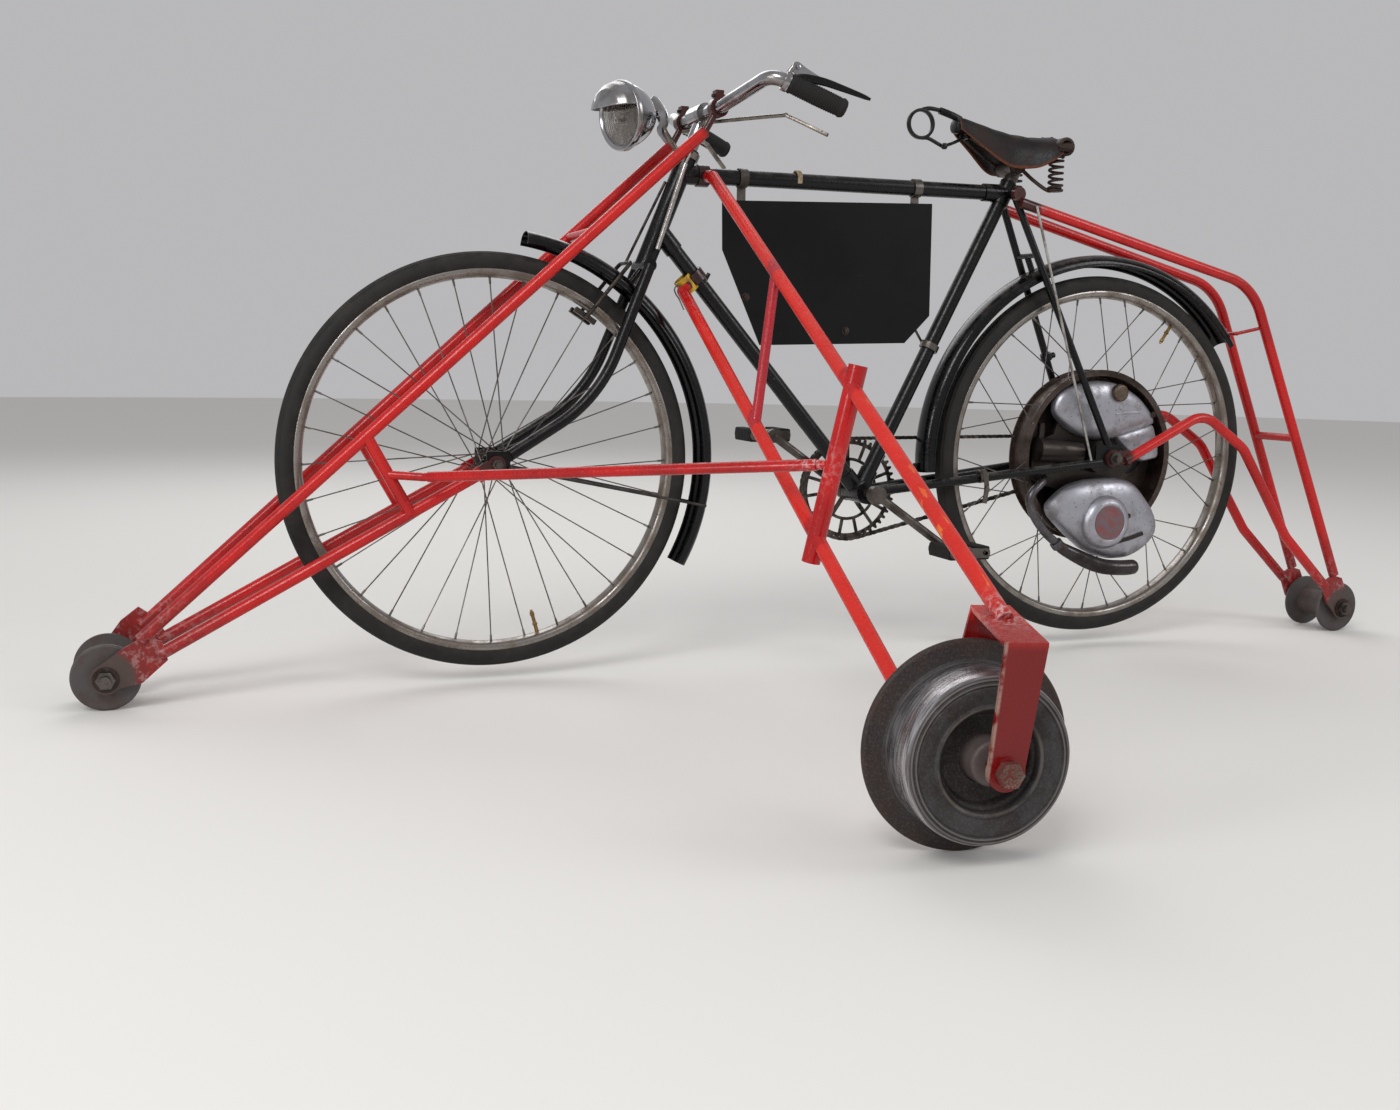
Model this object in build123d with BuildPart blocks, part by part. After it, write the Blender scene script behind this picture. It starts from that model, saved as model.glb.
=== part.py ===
"""Rail bike: a 28 inch roadster with a motor in its rear hub, guide rollers and an outrigger wheel."""

import os
from math import acos, atan2, cos, pi, radians, sin, sqrt

from build123d import *

# All lengths are in millimetres and all angles in degrees.
# +X points to the rear of the bike, -Y to its outrigger and +Z up.
# The origin is on top of the rail that the bike runs on, under the front axle.

# Track
gauge = 1000.0
rail_head = 52.0
flange_depth = 26.0
flange_play = 6.0

# Bicycle wheels
wheel_d = 711.0
wheel_base = 1225.0
tyre_w = 38.0
rim_w = 32.0
rim_depth = 14.0
spoke_d = 2.2
front_spoke_count = 32
rear_spoke_count = 36
front_hub_flange_d = 44.0
front_hub_flange_gap = 58.0
front_hub_d = 24.0
front_axle_d = 9.0
front_fork_gap = 96.0
rear_axle_d = 14.0
rear_fork_gap = 122.0
nut_t = 8.0

# Bicycle frame
head_angle = 67.8
head_tube_d = 34.0
head_length = 188.0
crown_angle = 51.23
crown_gap = 41.4
frame_tube_d = 28.0
seat_lug_back = 123.5
seat_lug_drop = 40.0
top_tube_drop = 46.0
down_tube_drop = 150.0
crank_gap = 163.5
crank_drop = 62.5
bottom_bracket_d = 42.0
bottom_bracket_w = 72.0
chain_stay_d = 17.0
seat_stay_d = 14.0
stay_bridge_d = 10.0
seat_bridge_gap = 29.4
bridge_lift = 1.4
dropout_t = 6.0
lug_extra = 2.5
lug_length = 46.0

# Fork
fork_crown_drop = 30.0
fork_crown_half = 36.0
fork_blade_straight = 248.0
fork_blade_bend = 260.0
fork_blade_d = 20.0
fork_end_t = 5.0

# Handlebar, saddle and lamp
stem_d = 25.0
stem_height = 62.0
bar_d = 23.0
bar_clamp_d = 35.0
grip_d = 32.0
grip_length = 98.0
seat_post_d = 25.0
saddle_t = 5.0
saddle_rod_d = 7.0
saddle_roll_d = 34.0
lamp_d = 118.0
lens_d = 100.0
lever_d = 8.0

# Drive
chain_y = 47.0
chainring_teeth = 48
sprocket_teeth = 19
chain_pitch = 12.7
chainring_t = 3.0
chain_plate_t = 1.2
chain_gap = 4.4
chain_height = 10.0
crank_length = 178.0
crank_angle = -34.5
crank_w = 20.0
crank_t = 12.0
crank_offset = 68.0
crank_spindle_d = 17.0
pedal_w = 92.0
pedal_l = 84.0
pedal_h = 26.0
pedal_spindle_d = 12.0
bearing_gap = 0.05
seat_gap = 0.3
spoke_gap = 0.7
hub_flange_t = 3.0

# Motor hub
drum_d = 330.0
drum_wall = 5.0
drum_near_y = -20.0
drum_far_y = 33.0
drum_lip = 7.0
motor_gap = 9.0

# Mudguards
guard_w = 56.0
guard_t = 2.0
guard_gap = 28.0
guard_rise = 10.0
guard_stay_d = 5.0
front_guard_x = 8.0
brake_rod_d = 5.0
brake_bow_d = 7.0
brake_shoe_angle = 57.0

# Guide frames, outrigger and their wheels
guide_tube_d = 20.0
roller_tread_d = 54.0
roller_flange_t = 10.0
roller_side_gap = 14.0
roller_axle_d = 16.0
front_roller_lead = 264.5
rear_roller_trail = 259.5
plate_t = 6.0
plate_gap = 8.0
outrigger_lead = 16.0
outrigger_tread_d = 202.0
outrigger_tread_w = 68.0
outrigger_flange_t = 12.0
outrigger_recess_d = 108.0
outrigger_recess = 26.0
outrigger_hub_d = 46.0
outrigger_axle_d = 18.0
outrigger_toe = 7.0
crown_toe = 17.0
crown_tilt = 4.5
strap_w = 47.0
strap_t = 6.0
outrigger_tube_d = 21.0
post_d = 27.0
strut_d = 16.0
tie_bar_d = 17.0
tie_lug = 26.0
guide_top_y = 85.0
guide_clamp_y = 88.0
guide_clamp_w = 18.0
rear_guide_top_y = 44.0
rear_guide_bend = 120.0

# Sizes that follow from these
wheel_r = wheel_d / 2
rim_top_r = wheel_r - tyre_w + 8.0
track = gauge + rail_head
roller_flange_d = roller_tread_d + 2 * flange_depth
roller_w = rail_head + 2 * roller_side_gap + 2 * roller_flange_t
roller_z = roller_tread_d / 2
plate_y = roller_w / 2 + plate_gap + plate_t / 2
outrigger_z = outrigger_tread_d / 2
outrigger_flange_d = outrigger_tread_d + 2 * flange_depth
outrigger_flange_y = -(gauge + rail_head) + rail_head / 2 + flange_play
across = Vector(0, 1, 0)
guard_outer = wheel_r + guard_gap + guard_rise + guard_t
front_centre = Vector(0, 0, wheel_r)
rear_centre = Vector(wheel_base, 0, wheel_r)
head_axis = Vector(cos(radians(head_angle)), 0, sin(radians(head_angle)))
crown_direction = Vector(cos(radians(crown_angle)), 0, sin(radians(crown_angle)))
crown = front_centre + crown_direction * (guard_outer + crown_gap)
head_low = crown + head_axis * fork_crown_drop
head_top = head_low + head_axis * head_length
seat_lug = Vector(wheel_base - wheel_r + seat_lug_back, 0, head_top.Z - seat_lug_drop)
crank_centre = Vector(wheel_base - wheel_r - crank_gap, 0, wheel_r - crank_drop)
crank_axle_x = crank_centre.X
crank_axle_z = crank_centre.Z
bar_centre = head_top + Vector(18, 0, 60)
bar_x = bar_centre.X
bar_z = bar_centre.Z
outrigger_x = head_top.X - outrigger_lead
front_roller_x = -(wheel_r + front_roller_lead)
rear_roller_x = wheel_base + wheel_r + rear_roller_trail


def rod(start, end, diameter, mode=Mode.ADD):
    """Adds a straight round bar between two points."""
    run = Vector(*end) - Vector(*start)
    with Locations(Plane(origin=start, z_dir=run).location):
        Cylinder(diameter / 2, run.length, align=(Align.CENTER, Align.CENTER, Align.MIN), mode=mode)


def disc(x, z, y_low, y_high, diameter, mode=Mode.ADD):
    """Adds a round pin or disc that lies across the bike between two values of Y."""
    rod((x, y_low, z), (x, y_high, z), diameter, mode)


def nut(x, z, y, side, thickness, across_flats):
    """Adds a hexagon nut that lies across the bike, from a value of Y towards one side."""
    with BuildSketch(Plane(origin=(x, y, z), x_dir=(1, 0, 0), z_dir=across * side)) as outline:
        RegularPolygon(across_flats / 2, 6, major_radius=False)
    extrude(outline.sketch, amount=thickness)


def bent_rod(points, bend, diameter):
    """Adds a round bar that follows straight runs joined by arcs."""
    with BuildLine() as route:
        FilletPolyline(*points, radius=bend)
    with BuildSketch(Plane(origin=route.line @ 0, z_dir=route.line % 0)) as section:
        Circle(diameter / 2)
    sweep(sections=section.sketch, path=route.line)


def share_at(start, end, centre, reach):
    """Gives the share of a run, from its start, at which it first lies a distance from a centre."""
    run = end - start
    arm = start - centre
    half = arm.dot(run)
    return (-half - sqrt(half**2 - run.dot(run) * (arm.dot(arm) - reach**2))) / run.dot(run)


def save(piece, name):
    """Labels a finished piece and writes it to its own file."""
    piece.part.label = name
    export_step(piece.part, f"parts/{name}.step")


def thin_rod(start, end, diameter):
    """Adds a slender bar with six sides between two points."""
    run = Vector(*end) - Vector(*start)
    with BuildSketch(Plane(origin=start, z_dir=run)) as section:
        RegularPolygon(diameter / 2, 6)
    extrude(section.sketch, amount=run.length)


def ring(centre, direction, width, hole, wall):
    """Adds a clamp ring of a width and a wall around a bar, with its hole clear of the bar."""
    half = direction.normalized() * (width / 2)
    rod(centre - half, centre + half, hole + 2 * seat_gap + 2 * wall)
    rod(centre - half * 1.1, centre + half * 1.1, hole + 2 * seat_gap, Mode.SUBTRACT)


def toothed(centre, y, teeth, radius, thickness):
    """Adds a flat wheel whose teeth fit a chain on a pitch radius."""
    corners = []
    for tooth in range(teeth):
        for share, reach in ((-0.34, -4.0), (-0.14, 3.0), (0.14, 3.0), (0.34, -4.0)):
            angle = 2 * pi * (tooth + share) / teeth
            corner_r = radius + reach
            corners.append((centre.X + corner_r * cos(angle), centre.Z + corner_r * sin(angle)))
    with BuildSketch(Plane(origin=(0, y + thickness / 2, 0), x_dir=(1, 0, 0), z_dir=-across)) as outline:
        with BuildLine():
            Polyline(*corners, close=True)
        make_face()
    extrude(outline.sketch, amount=thickness)


def lathe(origin, direction, outline, mode=Mode.ADD):
    """Turns a closed outline of (distance along the axis, radius) points about an axis."""
    axis_direction = Vector(*direction).normalized()
    normal = axis_direction.cross(Vector(0, 0, 1)).normalized()
    plane = Plane(origin=origin, x_dir=axis_direction, z_dir=normal)
    with BuildSketch(plane) as section:
        with BuildLine():
            Polyline(*outline, close=True)
        make_face()
    revolve(section.sketch, axis=Axis(origin, axis_direction), mode=mode)


def guard(centre_x, start, turn):
    """Adds a curved mudguard blade over a wheel, from a start angle above +X and back down by a turn."""
    edge = wheel_r + guard_gap
    radial = Vector(cos(radians(start)), 0, sin(radians(start)))
    plane = Plane(origin=(centre_x, 0, wheel_r), x_dir=across, z_dir=across.cross(radial))
    half = guard_w / 2
    with BuildSketch(plane) as section:
        with BuildLine():
            ThreePointArc((-half, edge), (0, edge + guard_rise), (half, edge))
            Line((half, edge), (half, edge + guard_t))
            ThreePointArc((half, edge + guard_t), (0, edge + guard_rise + guard_t), (-half, edge + guard_t))
            Line((-half, edge + guard_t), (-half, edge))
        make_face()
    revolve(section.sketch, axis=Axis((centre_x, 0, wheel_r), across), revolution_arc=turn)


def tyre(centre_x):
    """Adds a round tyre that sits on the shoulders of its rim."""
    plane = Plane(origin=(centre_x, 0, wheel_r), x_dir=across, z_dir=(1, 0, 0))
    with BuildSketch(plane) as section:
        with Locations((0, wheel_r - tyre_w / 2)):
            Circle(tyre_w / 2)
        with Locations((0, rim_top_r + seat_gap)):
            Rectangle(rim_w + 2 * seat_gap, tyre_w, align=(Align.CENTER, Align.MAX), mode=Mode.SUBTRACT)
    revolve(section.sketch, axis=Axis((centre_x, 0, wheel_r), across))


def rim(centre_x):
    """Adds a wheel rim with a sunk middle and rolled shoulders."""
    half = rim_w / 2
    inner = rim_top_r - rim_depth
    lathe(
        (centre_x, 0, wheel_r),
        across,
        [
            (-half, rim_top_r),
            (-half, inner + 6),
            (-half / 2, inner),
            (half / 2, inner),
            (half, inner + 6),
            (half, rim_top_r),
        ],
    )


def spokes(centre_x, count, rows, hub_r, lean):
    """Adds crossed spokes between two hub flanges, given as (Y, side) rows, and the inside of the rim."""
    reach = rim_top_r - rim_depth - spoke_gap
    step = 360 / count
    for row, flange_y in enumerate(rows):
        for number in range(count // 2):
            turn = 1 if number % 2 else -1
            rim_angle = radians((2 * number + row) * step)
            hub_angle = rim_angle + turn * radians(lean)
            side = turn * (spoke_d / 2 + hub_flange_t / 2 + spoke_gap)
            start = (centre_x + hub_r * cos(hub_angle), flange_y + side, wheel_r + hub_r * sin(hub_angle))
            rim_y = flange_y / abs(flange_y) * 3 + side * 0.5
            end = (centre_x + reach * cos(rim_angle), rim_y, wheel_r + reach * sin(rim_angle))
            thin_rod(start, end, spoke_d)


os.makedirs("parts", exist_ok=True)

# Bicycle frame
top_tube_front = head_top - head_axis * top_tube_drop
down_tube_front = head_top - head_axis * down_tube_drop
dropout_y = rear_fork_gap / 2 + dropout_t / 2
seat_tube_axis = (seat_lug - crank_centre).normalized()
seat_tube_top = seat_lug + seat_tube_axis * 22
chain_stay_y = 24.0
stay_ear_y = 31.0
chain_stay_front = Vector(crank_axle_x + 12, 0, crank_axle_z)
chain_stay_back = Vector(wheel_base - 24, 0, wheel_r - 8)
stay_top = seat_lug + Vector(8, 0, -4)
seat_stay_foot = Vector(wheel_base - 8, 0, wheel_r + 22)
bridge_share = share_at(stay_top, seat_stay_foot, rear_centre, guard_outer + seat_bridge_gap)
seat_bridge = stay_top + (seat_stay_foot - stay_top) * bridge_share
bridge_reach = guard_outer + stay_bridge_d / 2 + seat_gap
low_share = share_at(chain_stay_front, chain_stay_back, rear_centre, bridge_reach)
low_cross = chain_stay_front + (chain_stay_back - chain_stay_front) * low_share - rear_centre
bridge_angle = atan2(low_cross.Z, low_cross.X) - radians(bridge_lift)
tongue_angle = bridge_angle - radians(4.3)
chain_bridge = rear_centre + Vector(cos(bridge_angle), 0, sin(bridge_angle)) * bridge_reach
guard_tongue = rear_centre + Vector(cos(tongue_angle), 0, sin(tongue_angle)) * bridge_reach
down_tube_peg = down_tube_front + (crank_centre - down_tube_front) * 0.205
stay_low = seat_stay_foot + across * dropout_y
stay_high = stay_top + across * chain_stay_y
stay_run = (stay_low - stay_high).normalized()
stay_clip = stay_high + (stay_low - stay_high) * 0.636

with BuildPart() as main_frame:
    rod(head_low, head_top, head_tube_d)
    for start, end in (
        (top_tube_front, seat_lug),
        (down_tube_front, crank_centre),
        (seat_tube_top, crank_centre),
    ):
        rod(start, end, frame_tube_d)
        lug = (end - start).normalized() * lug_length
        rod(start, start + lug, frame_tube_d + 2 * lug_extra)
        rod(end - lug, end, frame_tube_d + 2 * lug_extra)
    disc(crank_axle_x, crank_axle_z, -bottom_bracket_w / 2, bottom_bracket_w / 2, bottom_bracket_d)
    disc(stay_top.X, stay_top.Z, -stay_ear_y, stay_ear_y, seat_stay_d)
    for side in (-1, 1):
        low_start = chain_stay_front + across * side * chain_stay_y
        low_end = chain_stay_back + across * side * dropout_y
        rod(low_start, low_end, chain_stay_d)
        rod(stay_top + across * side * chain_stay_y, seat_stay_foot + across * side * dropout_y, seat_stay_d)
        with Locations((wheel_base - 10, side * dropout_y, wheel_r + 4)):
            Box(56, dropout_t, 44)
    disc(seat_bridge.X, seat_bridge.Z, -34, 34, stay_bridge_d)
    disc(chain_bridge.X, chain_bridge.Z, -34, 34, stay_bridge_d)
    rod(chain_bridge, guard_tongue, stay_bridge_d - 1)
    rod(seat_bridge, rear_centre + (seat_bridge - rear_centre).normalized() * (guard_outer + seat_gap), 12)
    rod(down_tube_peg, down_tube_peg + Vector(13, 0, 24), 7)
    rod(stay_clip - stay_run * 7, stay_clip + stay_run * 7, seat_stay_d + 8)
    rod(stay_clip, stay_clip + Vector(20, 4, 4), 12)
    spindle_hole = crank_spindle_d + 2 * bearing_gap
    disc(crank_axle_x, crank_axle_z, -bottom_bracket_w, bottom_bracket_w, spindle_hole, Mode.SUBTRACT)
    disc(wheel_base, wheel_r, -2 * dropout_y, 2 * dropout_y, rear_axle_d + 2 * seat_gap, Mode.SUBTRACT)
save(main_frame, "main_frame")

# Fork
fork_end_y = front_fork_gap / 2 + fork_end_t / 2
front_guard_centre = front_centre + Vector(front_guard_x, 0, 0)
blade_corner = crown - head_axis * fork_blade_straight

with BuildPart() as fork:
    rod(head_low - head_axis * seat_gap, crown, head_tube_d)
    rod(crown - across * fork_crown_half, crown + across * fork_crown_half, fork_blade_d + 4)
    for side in (-1, 1):
        bent_rod(
            [
                crown + across * side * fork_crown_half,
                blade_corner + across * side * (fork_end_y - 3),
                (14, side * fork_end_y, wheel_r + 9),
            ],
            fork_blade_bend,
            fork_blade_d,
        )
        with Locations((4, side * fork_end_y, wheel_r + 4)):
            Box(40, fork_end_t, 36)
    guard_top = front_guard_centre + (crown - front_guard_centre).normalized() * (guard_outer + seat_gap)
    rod(crown, guard_top, 12)
    for side in (-1, 1):
        disc(0, wheel_r, side * front_fork_gap / 2, 0, 60, Mode.SUBTRACT)
        disc(0, wheel_r, side * (front_fork_gap / 2 + fork_end_t), side * 90, 60, Mode.SUBTRACT)
    disc(0, wheel_r, -90, 90, front_axle_d + 2 * seat_gap, Mode.SUBTRACT)
save(fork, "fork")

# Front axle, held in the fork ends
tab_low = front_fork_gap / 2 + fork_end_t
with BuildPart() as front_axle:
    disc(0, wheel_r, -(tab_low + plate_t + nut_t + 8), tab_low + plate_t + nut_t + 8, front_axle_d)
    for side in (-1, 1):
        disc(0, wheel_r, side * (front_fork_gap / 2 - 5), side * front_fork_gap / 2, front_axle_d + 8)
        nut(0, wheel_r, side * (tab_low + plate_t), side, nut_t, 17)
save(front_axle, "front_axle")

# Front wheel
with BuildPart() as front_tyre:
    tyre(0)
save(front_tyre, "front_tyre")

with BuildPart() as front_rim:
    rim(0)
save(front_rim, "front_rim")

with BuildPart() as front_hub:
    hub_half = front_fork_gap / 2 - 6
    disc(0, wheel_r, -hub_half, hub_half, front_hub_d)
    for side in (-1, 1):
        y = side * front_hub_flange_gap / 2
        disc(0, wheel_r, y - hub_flange_t / 2, y + hub_flange_t / 2, front_hub_flange_d)
    disc(0, wheel_r, -60, 60, front_axle_d + 2 * bearing_gap, Mode.SUBTRACT)
save(front_hub, "front_hub")

with BuildPart() as front_spokes:
    flange_y = front_hub_flange_gap / 2
    spokes(0, front_spoke_count, (-flange_y, flange_y), front_hub_flange_d / 2 - 3, 67.5)
save(front_spokes, "front_spokes")

# Rear wheel with the drum of the motor hub
with BuildPart() as rear_tyre:
    tyre(wheel_base)
save(rear_tyre, "rear_tyre")

with BuildPart() as rear_rim:
    rim(wheel_base)
save(rear_rim, "rear_rim")

drum_r = drum_d / 2
with BuildPart() as rear_drum:
    disc(wheel_base, wheel_r, drum_near_y, drum_far_y, drum_d)
    disc(wheel_base, wheel_r, drum_near_y, drum_far_y - drum_wall, drum_d - 2 * drum_wall, Mode.SUBTRACT)
    for y in (drum_near_y, drum_far_y - hub_flange_t):
        lathe(
            (wheel_base, y, wheel_r),
            across,
            [
                (0, drum_r - 1),
                (hub_flange_t, drum_r - 1),
                (hub_flange_t, drum_r + drum_lip),
                (0, drum_r + drum_lip),
            ],
        )
    with BuildSketch(Plane(origin=(wheel_base, drum_far_y, wheel_r), x_dir=(1, 0, 0), z_dir=across)) as holes:
        with PolarLocations(drum_r * 0.62, 6):
            Circle(drum_r * 0.24)
    extrude(holes.sketch, amount=-drum_wall - 1, mode=Mode.SUBTRACT)
    disc(wheel_base, wheel_r, drum_far_y - 14, chain_y - chainring_t / 2, 48)
    disc(wheel_base, wheel_r, drum_near_y, chain_y, rear_axle_d + 2 * bearing_gap, Mode.SUBTRACT)
save(rear_drum, "rear_drum")

with BuildPart() as rear_spokes:
    rows = (drum_near_y + hub_flange_t / 2, drum_far_y - hub_flange_t / 2)
    spokes(wheel_base, rear_spoke_count, rows, drum_r + drum_lip - 3, 17)
save(rear_spokes, "rear_spokes")

sprocket_r = chain_pitch / 2 / sin(pi / sprocket_teeth)
chainring_r = chain_pitch / 2 / sin(pi / chainring_teeth)
with BuildPart() as rear_sprocket:
    toothed(rear_centre, chain_y, sprocket_teeth, sprocket_r, chainring_t)
    disc(wheel_base, wheel_r, chain_y - 9, chain_y + 9, rear_axle_d + 2 * bearing_gap, Mode.SUBTRACT)
save(rear_sprocket, "rear_sprocket")

# Rear axle, held in the dropouts
rear_tab = dropout_y + dropout_t / 2
with BuildPart() as rear_axle:
    axle_end = rear_tab + plate_t + nut_t + 10
    disc(wheel_base, wheel_r, -axle_end, axle_end, rear_axle_d)
    disc(wheel_base, wheel_r, chain_y + chainring_t / 2 + 5, rear_fork_gap / 2, rear_axle_d + 10)
    disc(wheel_base, wheel_r, -rear_fork_gap / 2, -36, rear_axle_d + 10)
    for side in (-1, 1):
        nut(wheel_base, wheel_r, side * (rear_tab + plate_t), side, nut_t, 24)
save(rear_axle, "rear_axle")

# Motor inside the hub, held still by the axle
motor_r = drum_d / 2 - drum_wall - motor_gap
tank_face_y = -36.0
tank_back_y = -5.0
cover_face_y = -60.0
cover_back_y = -28.0
boss_x = -4.0
boss_z = -127.0
boss_d = 98.0
boss_top_d = 72.0
boss_t = 18.0
core_d = 64.0
core_back_d = 108.0
magneto_d = 48.0
pipe_d = 17.0
silencer_d = 28.0
tank_start = 131.0
tank_stop = 33.0
motor_plane = Plane(origin=(wheel_base, 0, wheel_r), x_dir=(1, 0, 0), z_dir=-across)


def on_motor(radius, angle):
    """Gives a point of the motor's outlines by its distance and angle from the axle."""
    return (radius * cos(radians(angle)), radius * sin(radians(angle)))


web_corners = (
    (-142, 26),
    (-96, 44),
    (-74, 108),
    (30, 128),
    (98, 64),
    (94, -22),
    (58, -52),
    (20, -128),
    (-40, -122),
    (-64, -70),
    (-112, -58),
    (-144, -44),
)
tank_floor = ((128, 60), (104, 52), (32, 35), (-26, 37), (-74, 57), (-103, 78))
side_plate_corners = ((70, 12), (143, 20), (145, -4), (104, -12))
cover_corners = (
    (-136, -94),
    (-84, -50),
    (-10, -40),
    (70, -44),
    (112, -84),
    (140, -148),
    (84, -203),
    (-8, -206),
    (-70, -168),
)
pipe_run = ((-128, -5, -40), (-128, -40, -40), (-172, -48, -66), (-162, -50, -116), (-100, -56, -178))
silencer_run = ((-106, -56, -172), (-50, -58, -212), (76, -58, -227))
with BuildPart() as motor_core:
    disc(wheel_base, wheel_r, tank_face_y + 2, 0, core_d)
    disc(wheel_base, wheel_r, tank_back_y + seat_gap, drum_far_y - 20, core_back_d)
    with BuildSketch(motor_plane.offset(-tank_back_y - seat_gap)) as web:
        with BuildLine():
            Polyline(*web_corners, close=True)
        make_face()
    extrude(web.sketch, amount=-8)
    rod(rear_centre + Vector(-141, -16, 14), rear_centre + Vector(-44, -16, 8), magneto_d)
    rod(rear_centre + Vector(-126, -4, 10), rear_centre + Vector(-124, -4, 66), 15)
    rod(rear_centre + Vector(-20, cover_back_y + seat_gap, -80), rear_centre + Vector(-20, -4, -80), 70)
    disc(wheel_base, wheel_r, -90, drum_far_y, rear_axle_d + 2 * seat_gap, Mode.SUBTRACT)
save(motor_core, "motor_core")

with BuildPart() as motor_tank:
    with BuildSketch(motor_plane.offset(-tank_back_y)) as outline:
        with BuildLine():
            ThreePointArc(on_motor(motor_r, tank_start), on_motor(motor_r, 85), on_motor(motor_r, tank_stop))
            Polyline(on_motor(motor_r, tank_stop), *tank_floor)
            ThreePointArc(tank_floor[-1], (-113, 96), on_motor(motor_r, tank_start))
        make_face()
    extrude(outline.sketch, amount=tank_back_y - tank_face_y)
    chamfer(motor_tank.faces().sort_by(Axis.Y)[0].edges(), 8)
    disc(wheel_base + 32, wheel_r + 128, tank_face_y - 13, tank_face_y + 1, 34)
    with BuildSketch(motor_plane.offset(-tank_back_y)) as outline:
        with BuildLine():
            Polyline(*side_plate_corners, close=True)
        make_face()
    extrude(outline.sketch, amount=24)
save(motor_tank, "motor_tank")

with BuildPart() as motor_cover:
    with BuildSketch(motor_plane.offset(-cover_back_y)) as outline:
        with BuildLine():
            FilletPolyline(*cover_corners, radius=24, close=True)
        make_face()
    extrude(outline.sketch, amount=cover_back_y - cover_face_y)
    chamfer(motor_cover.faces().sort_by(Axis.Y)[0].edges(), 13)
    boss_centre = rear_centre + Vector(boss_x, cover_face_y + 1, boss_z)
    boss_top_r = boss_top_d / 2
    boss_outline = [(0, 0), (0, boss_d / 2), (boss_t - 3, boss_top_r + 2), (boss_t, boss_top_r), (boss_t, 0)]
    lathe(boss_centre, -across, boss_outline)
    boss_face = boss_centre - across * boss_t
    rod(boss_face + across * 2, boss_face - across * 2, boss_top_d - 6, Mode.SUBTRACT)
save(motor_cover, "motor_cover")

with BuildPart() as exhaust:
    bent_rod([rear_centre + Vector(*point) for point in pipe_run], 18, pipe_d)
    bent_rod([rear_centre + Vector(*point) for point in silencer_run], 90, silencer_d)
save(exhaust, "exhaust")

# Crank set and pedals
crank_direction = Vector(cos(radians(crank_angle)), 0, sin(radians(crank_angle)))
near_pedal = crank_centre + crank_direction * crank_length
far_pedal = crank_centre - crank_direction * crank_length
with BuildPart() as crankset:
    disc(crank_axle_x, crank_axle_z, -crank_offset - crank_t, crank_offset + crank_t, crank_spindle_d)
    for side, end in ((-1, near_pedal), (1, far_pedal)):
        y = side * (crank_offset + crank_t / 2)
        disc(crank_axle_x, crank_axle_z, y - crank_t / 2 - 2, y + crank_t / 2 + 2, crank_w + 14)
        disc(end.X, end.Z, y - crank_t / 2, y + crank_t / 2, crank_w + 6)
        rod(crank_centre + across * y, end + across * y, crank_t + 4)
        disc(end.X, end.Z, y, side * (crank_offset + crank_t + pedal_w + 4), pedal_spindle_d)
save(crankset, "crankset")

with BuildPart() as chainring:
    toothed(crank_centre, chain_y, chainring_teeth, chainring_r, chainring_t)
    disc(crank_axle_x, crank_axle_z, chain_y - 9, chain_y + 9, 2 * chainring_r - 30, Mode.SUBTRACT)
    for number in range(5):
        angle = radians(number * 72 + 20)
        arm = crank_centre + across * chain_y + Vector(cos(angle), 0, sin(angle)) * (chainring_r - 8)
        rod(crank_centre + across * chain_y, arm, 8)
    disc(crank_axle_x, crank_axle_z, chain_y - 6, crank_offset - 2, 40)
    spindle_seat = crank_spindle_d + 2 * seat_gap
    disc(crank_axle_x, crank_axle_z, chain_y - 9, crank_offset + 9, spindle_seat, Mode.SUBTRACT)
save(chainring, "chainring")

for side, end, name in ((-1, near_pedal, "pedal_left"), (1, far_pedal, "pedal_right")):
    with BuildPart() as pedal:
        y = side * (crank_offset + crank_t + 2 + pedal_w / 2)
        for edge in (-1, 1):
            with Locations((end.X + edge * (pedal_l / 2 - 11), y, end.Z)):
                Box(22, pedal_w - 4, pedal_h)
            with Locations((end.X, y + edge * (pedal_w / 2 - 6), end.Z)):
                Box(pedal_l, 8, 18)
        disc(end.X, end.Z, y - pedal_w / 2 + 2, y + pedal_w / 2 - 2, pedal_spindle_d + 10)
        disc(end.X, end.Z, y - pedal_w, y + pedal_w, pedal_spindle_d + 2 * bearing_gap, Mode.SUBTRACT)
    save(pedal, name)

# Chain, one fixed loop with its plates on both sides of the teeth
centre_run = rear_centre - crank_centre
tangent = acos((chainring_r - sprocket_r) / centre_run.length)
run_angle = atan2(centre_run.Z, centre_run.X)


def chain_outline(grow):
    """Draws the closed line that lies a distance outside the pitch line of the chain."""
    up, down = run_angle + tangent, run_angle - tangent
    front = chainring_r + grow
    back = sprocket_r + grow
    points = []
    for centre, radius, angle in (
        (crank_centre, front, up),
        (rear_centre, back, up),
        (rear_centre, back, run_angle),
        (rear_centre, back, down),
        (crank_centre, front, down),
        (crank_centre, front, run_angle + pi),
    ):
        points.append((centre.X + radius * cos(angle), centre.Z + radius * sin(angle)))
    Line(points[0], points[1])
    ThreePointArc(points[1], points[2], points[3])
    Line(points[3], points[4])
    ThreePointArc(points[4], points[5], points[0])


with BuildPart() as chain:
    for side in (-1, 1):
        y = chain_y + side * (chain_gap / 2 + chain_plate_t / 2)
        with BuildSketch(Plane(origin=(0, y + chain_plate_t / 2, 0), x_dir=(1, 0, 0), z_dir=-across)) as loop:
            with BuildLine():
                chain_outline(chain_height / 2)
            make_face()
            with BuildLine():
                chain_outline(-chain_height / 2)
            make_face(mode=Mode.SUBTRACT)
        extrude(loop.sketch, amount=chain_plate_t)
save(chain, "chain")

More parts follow.
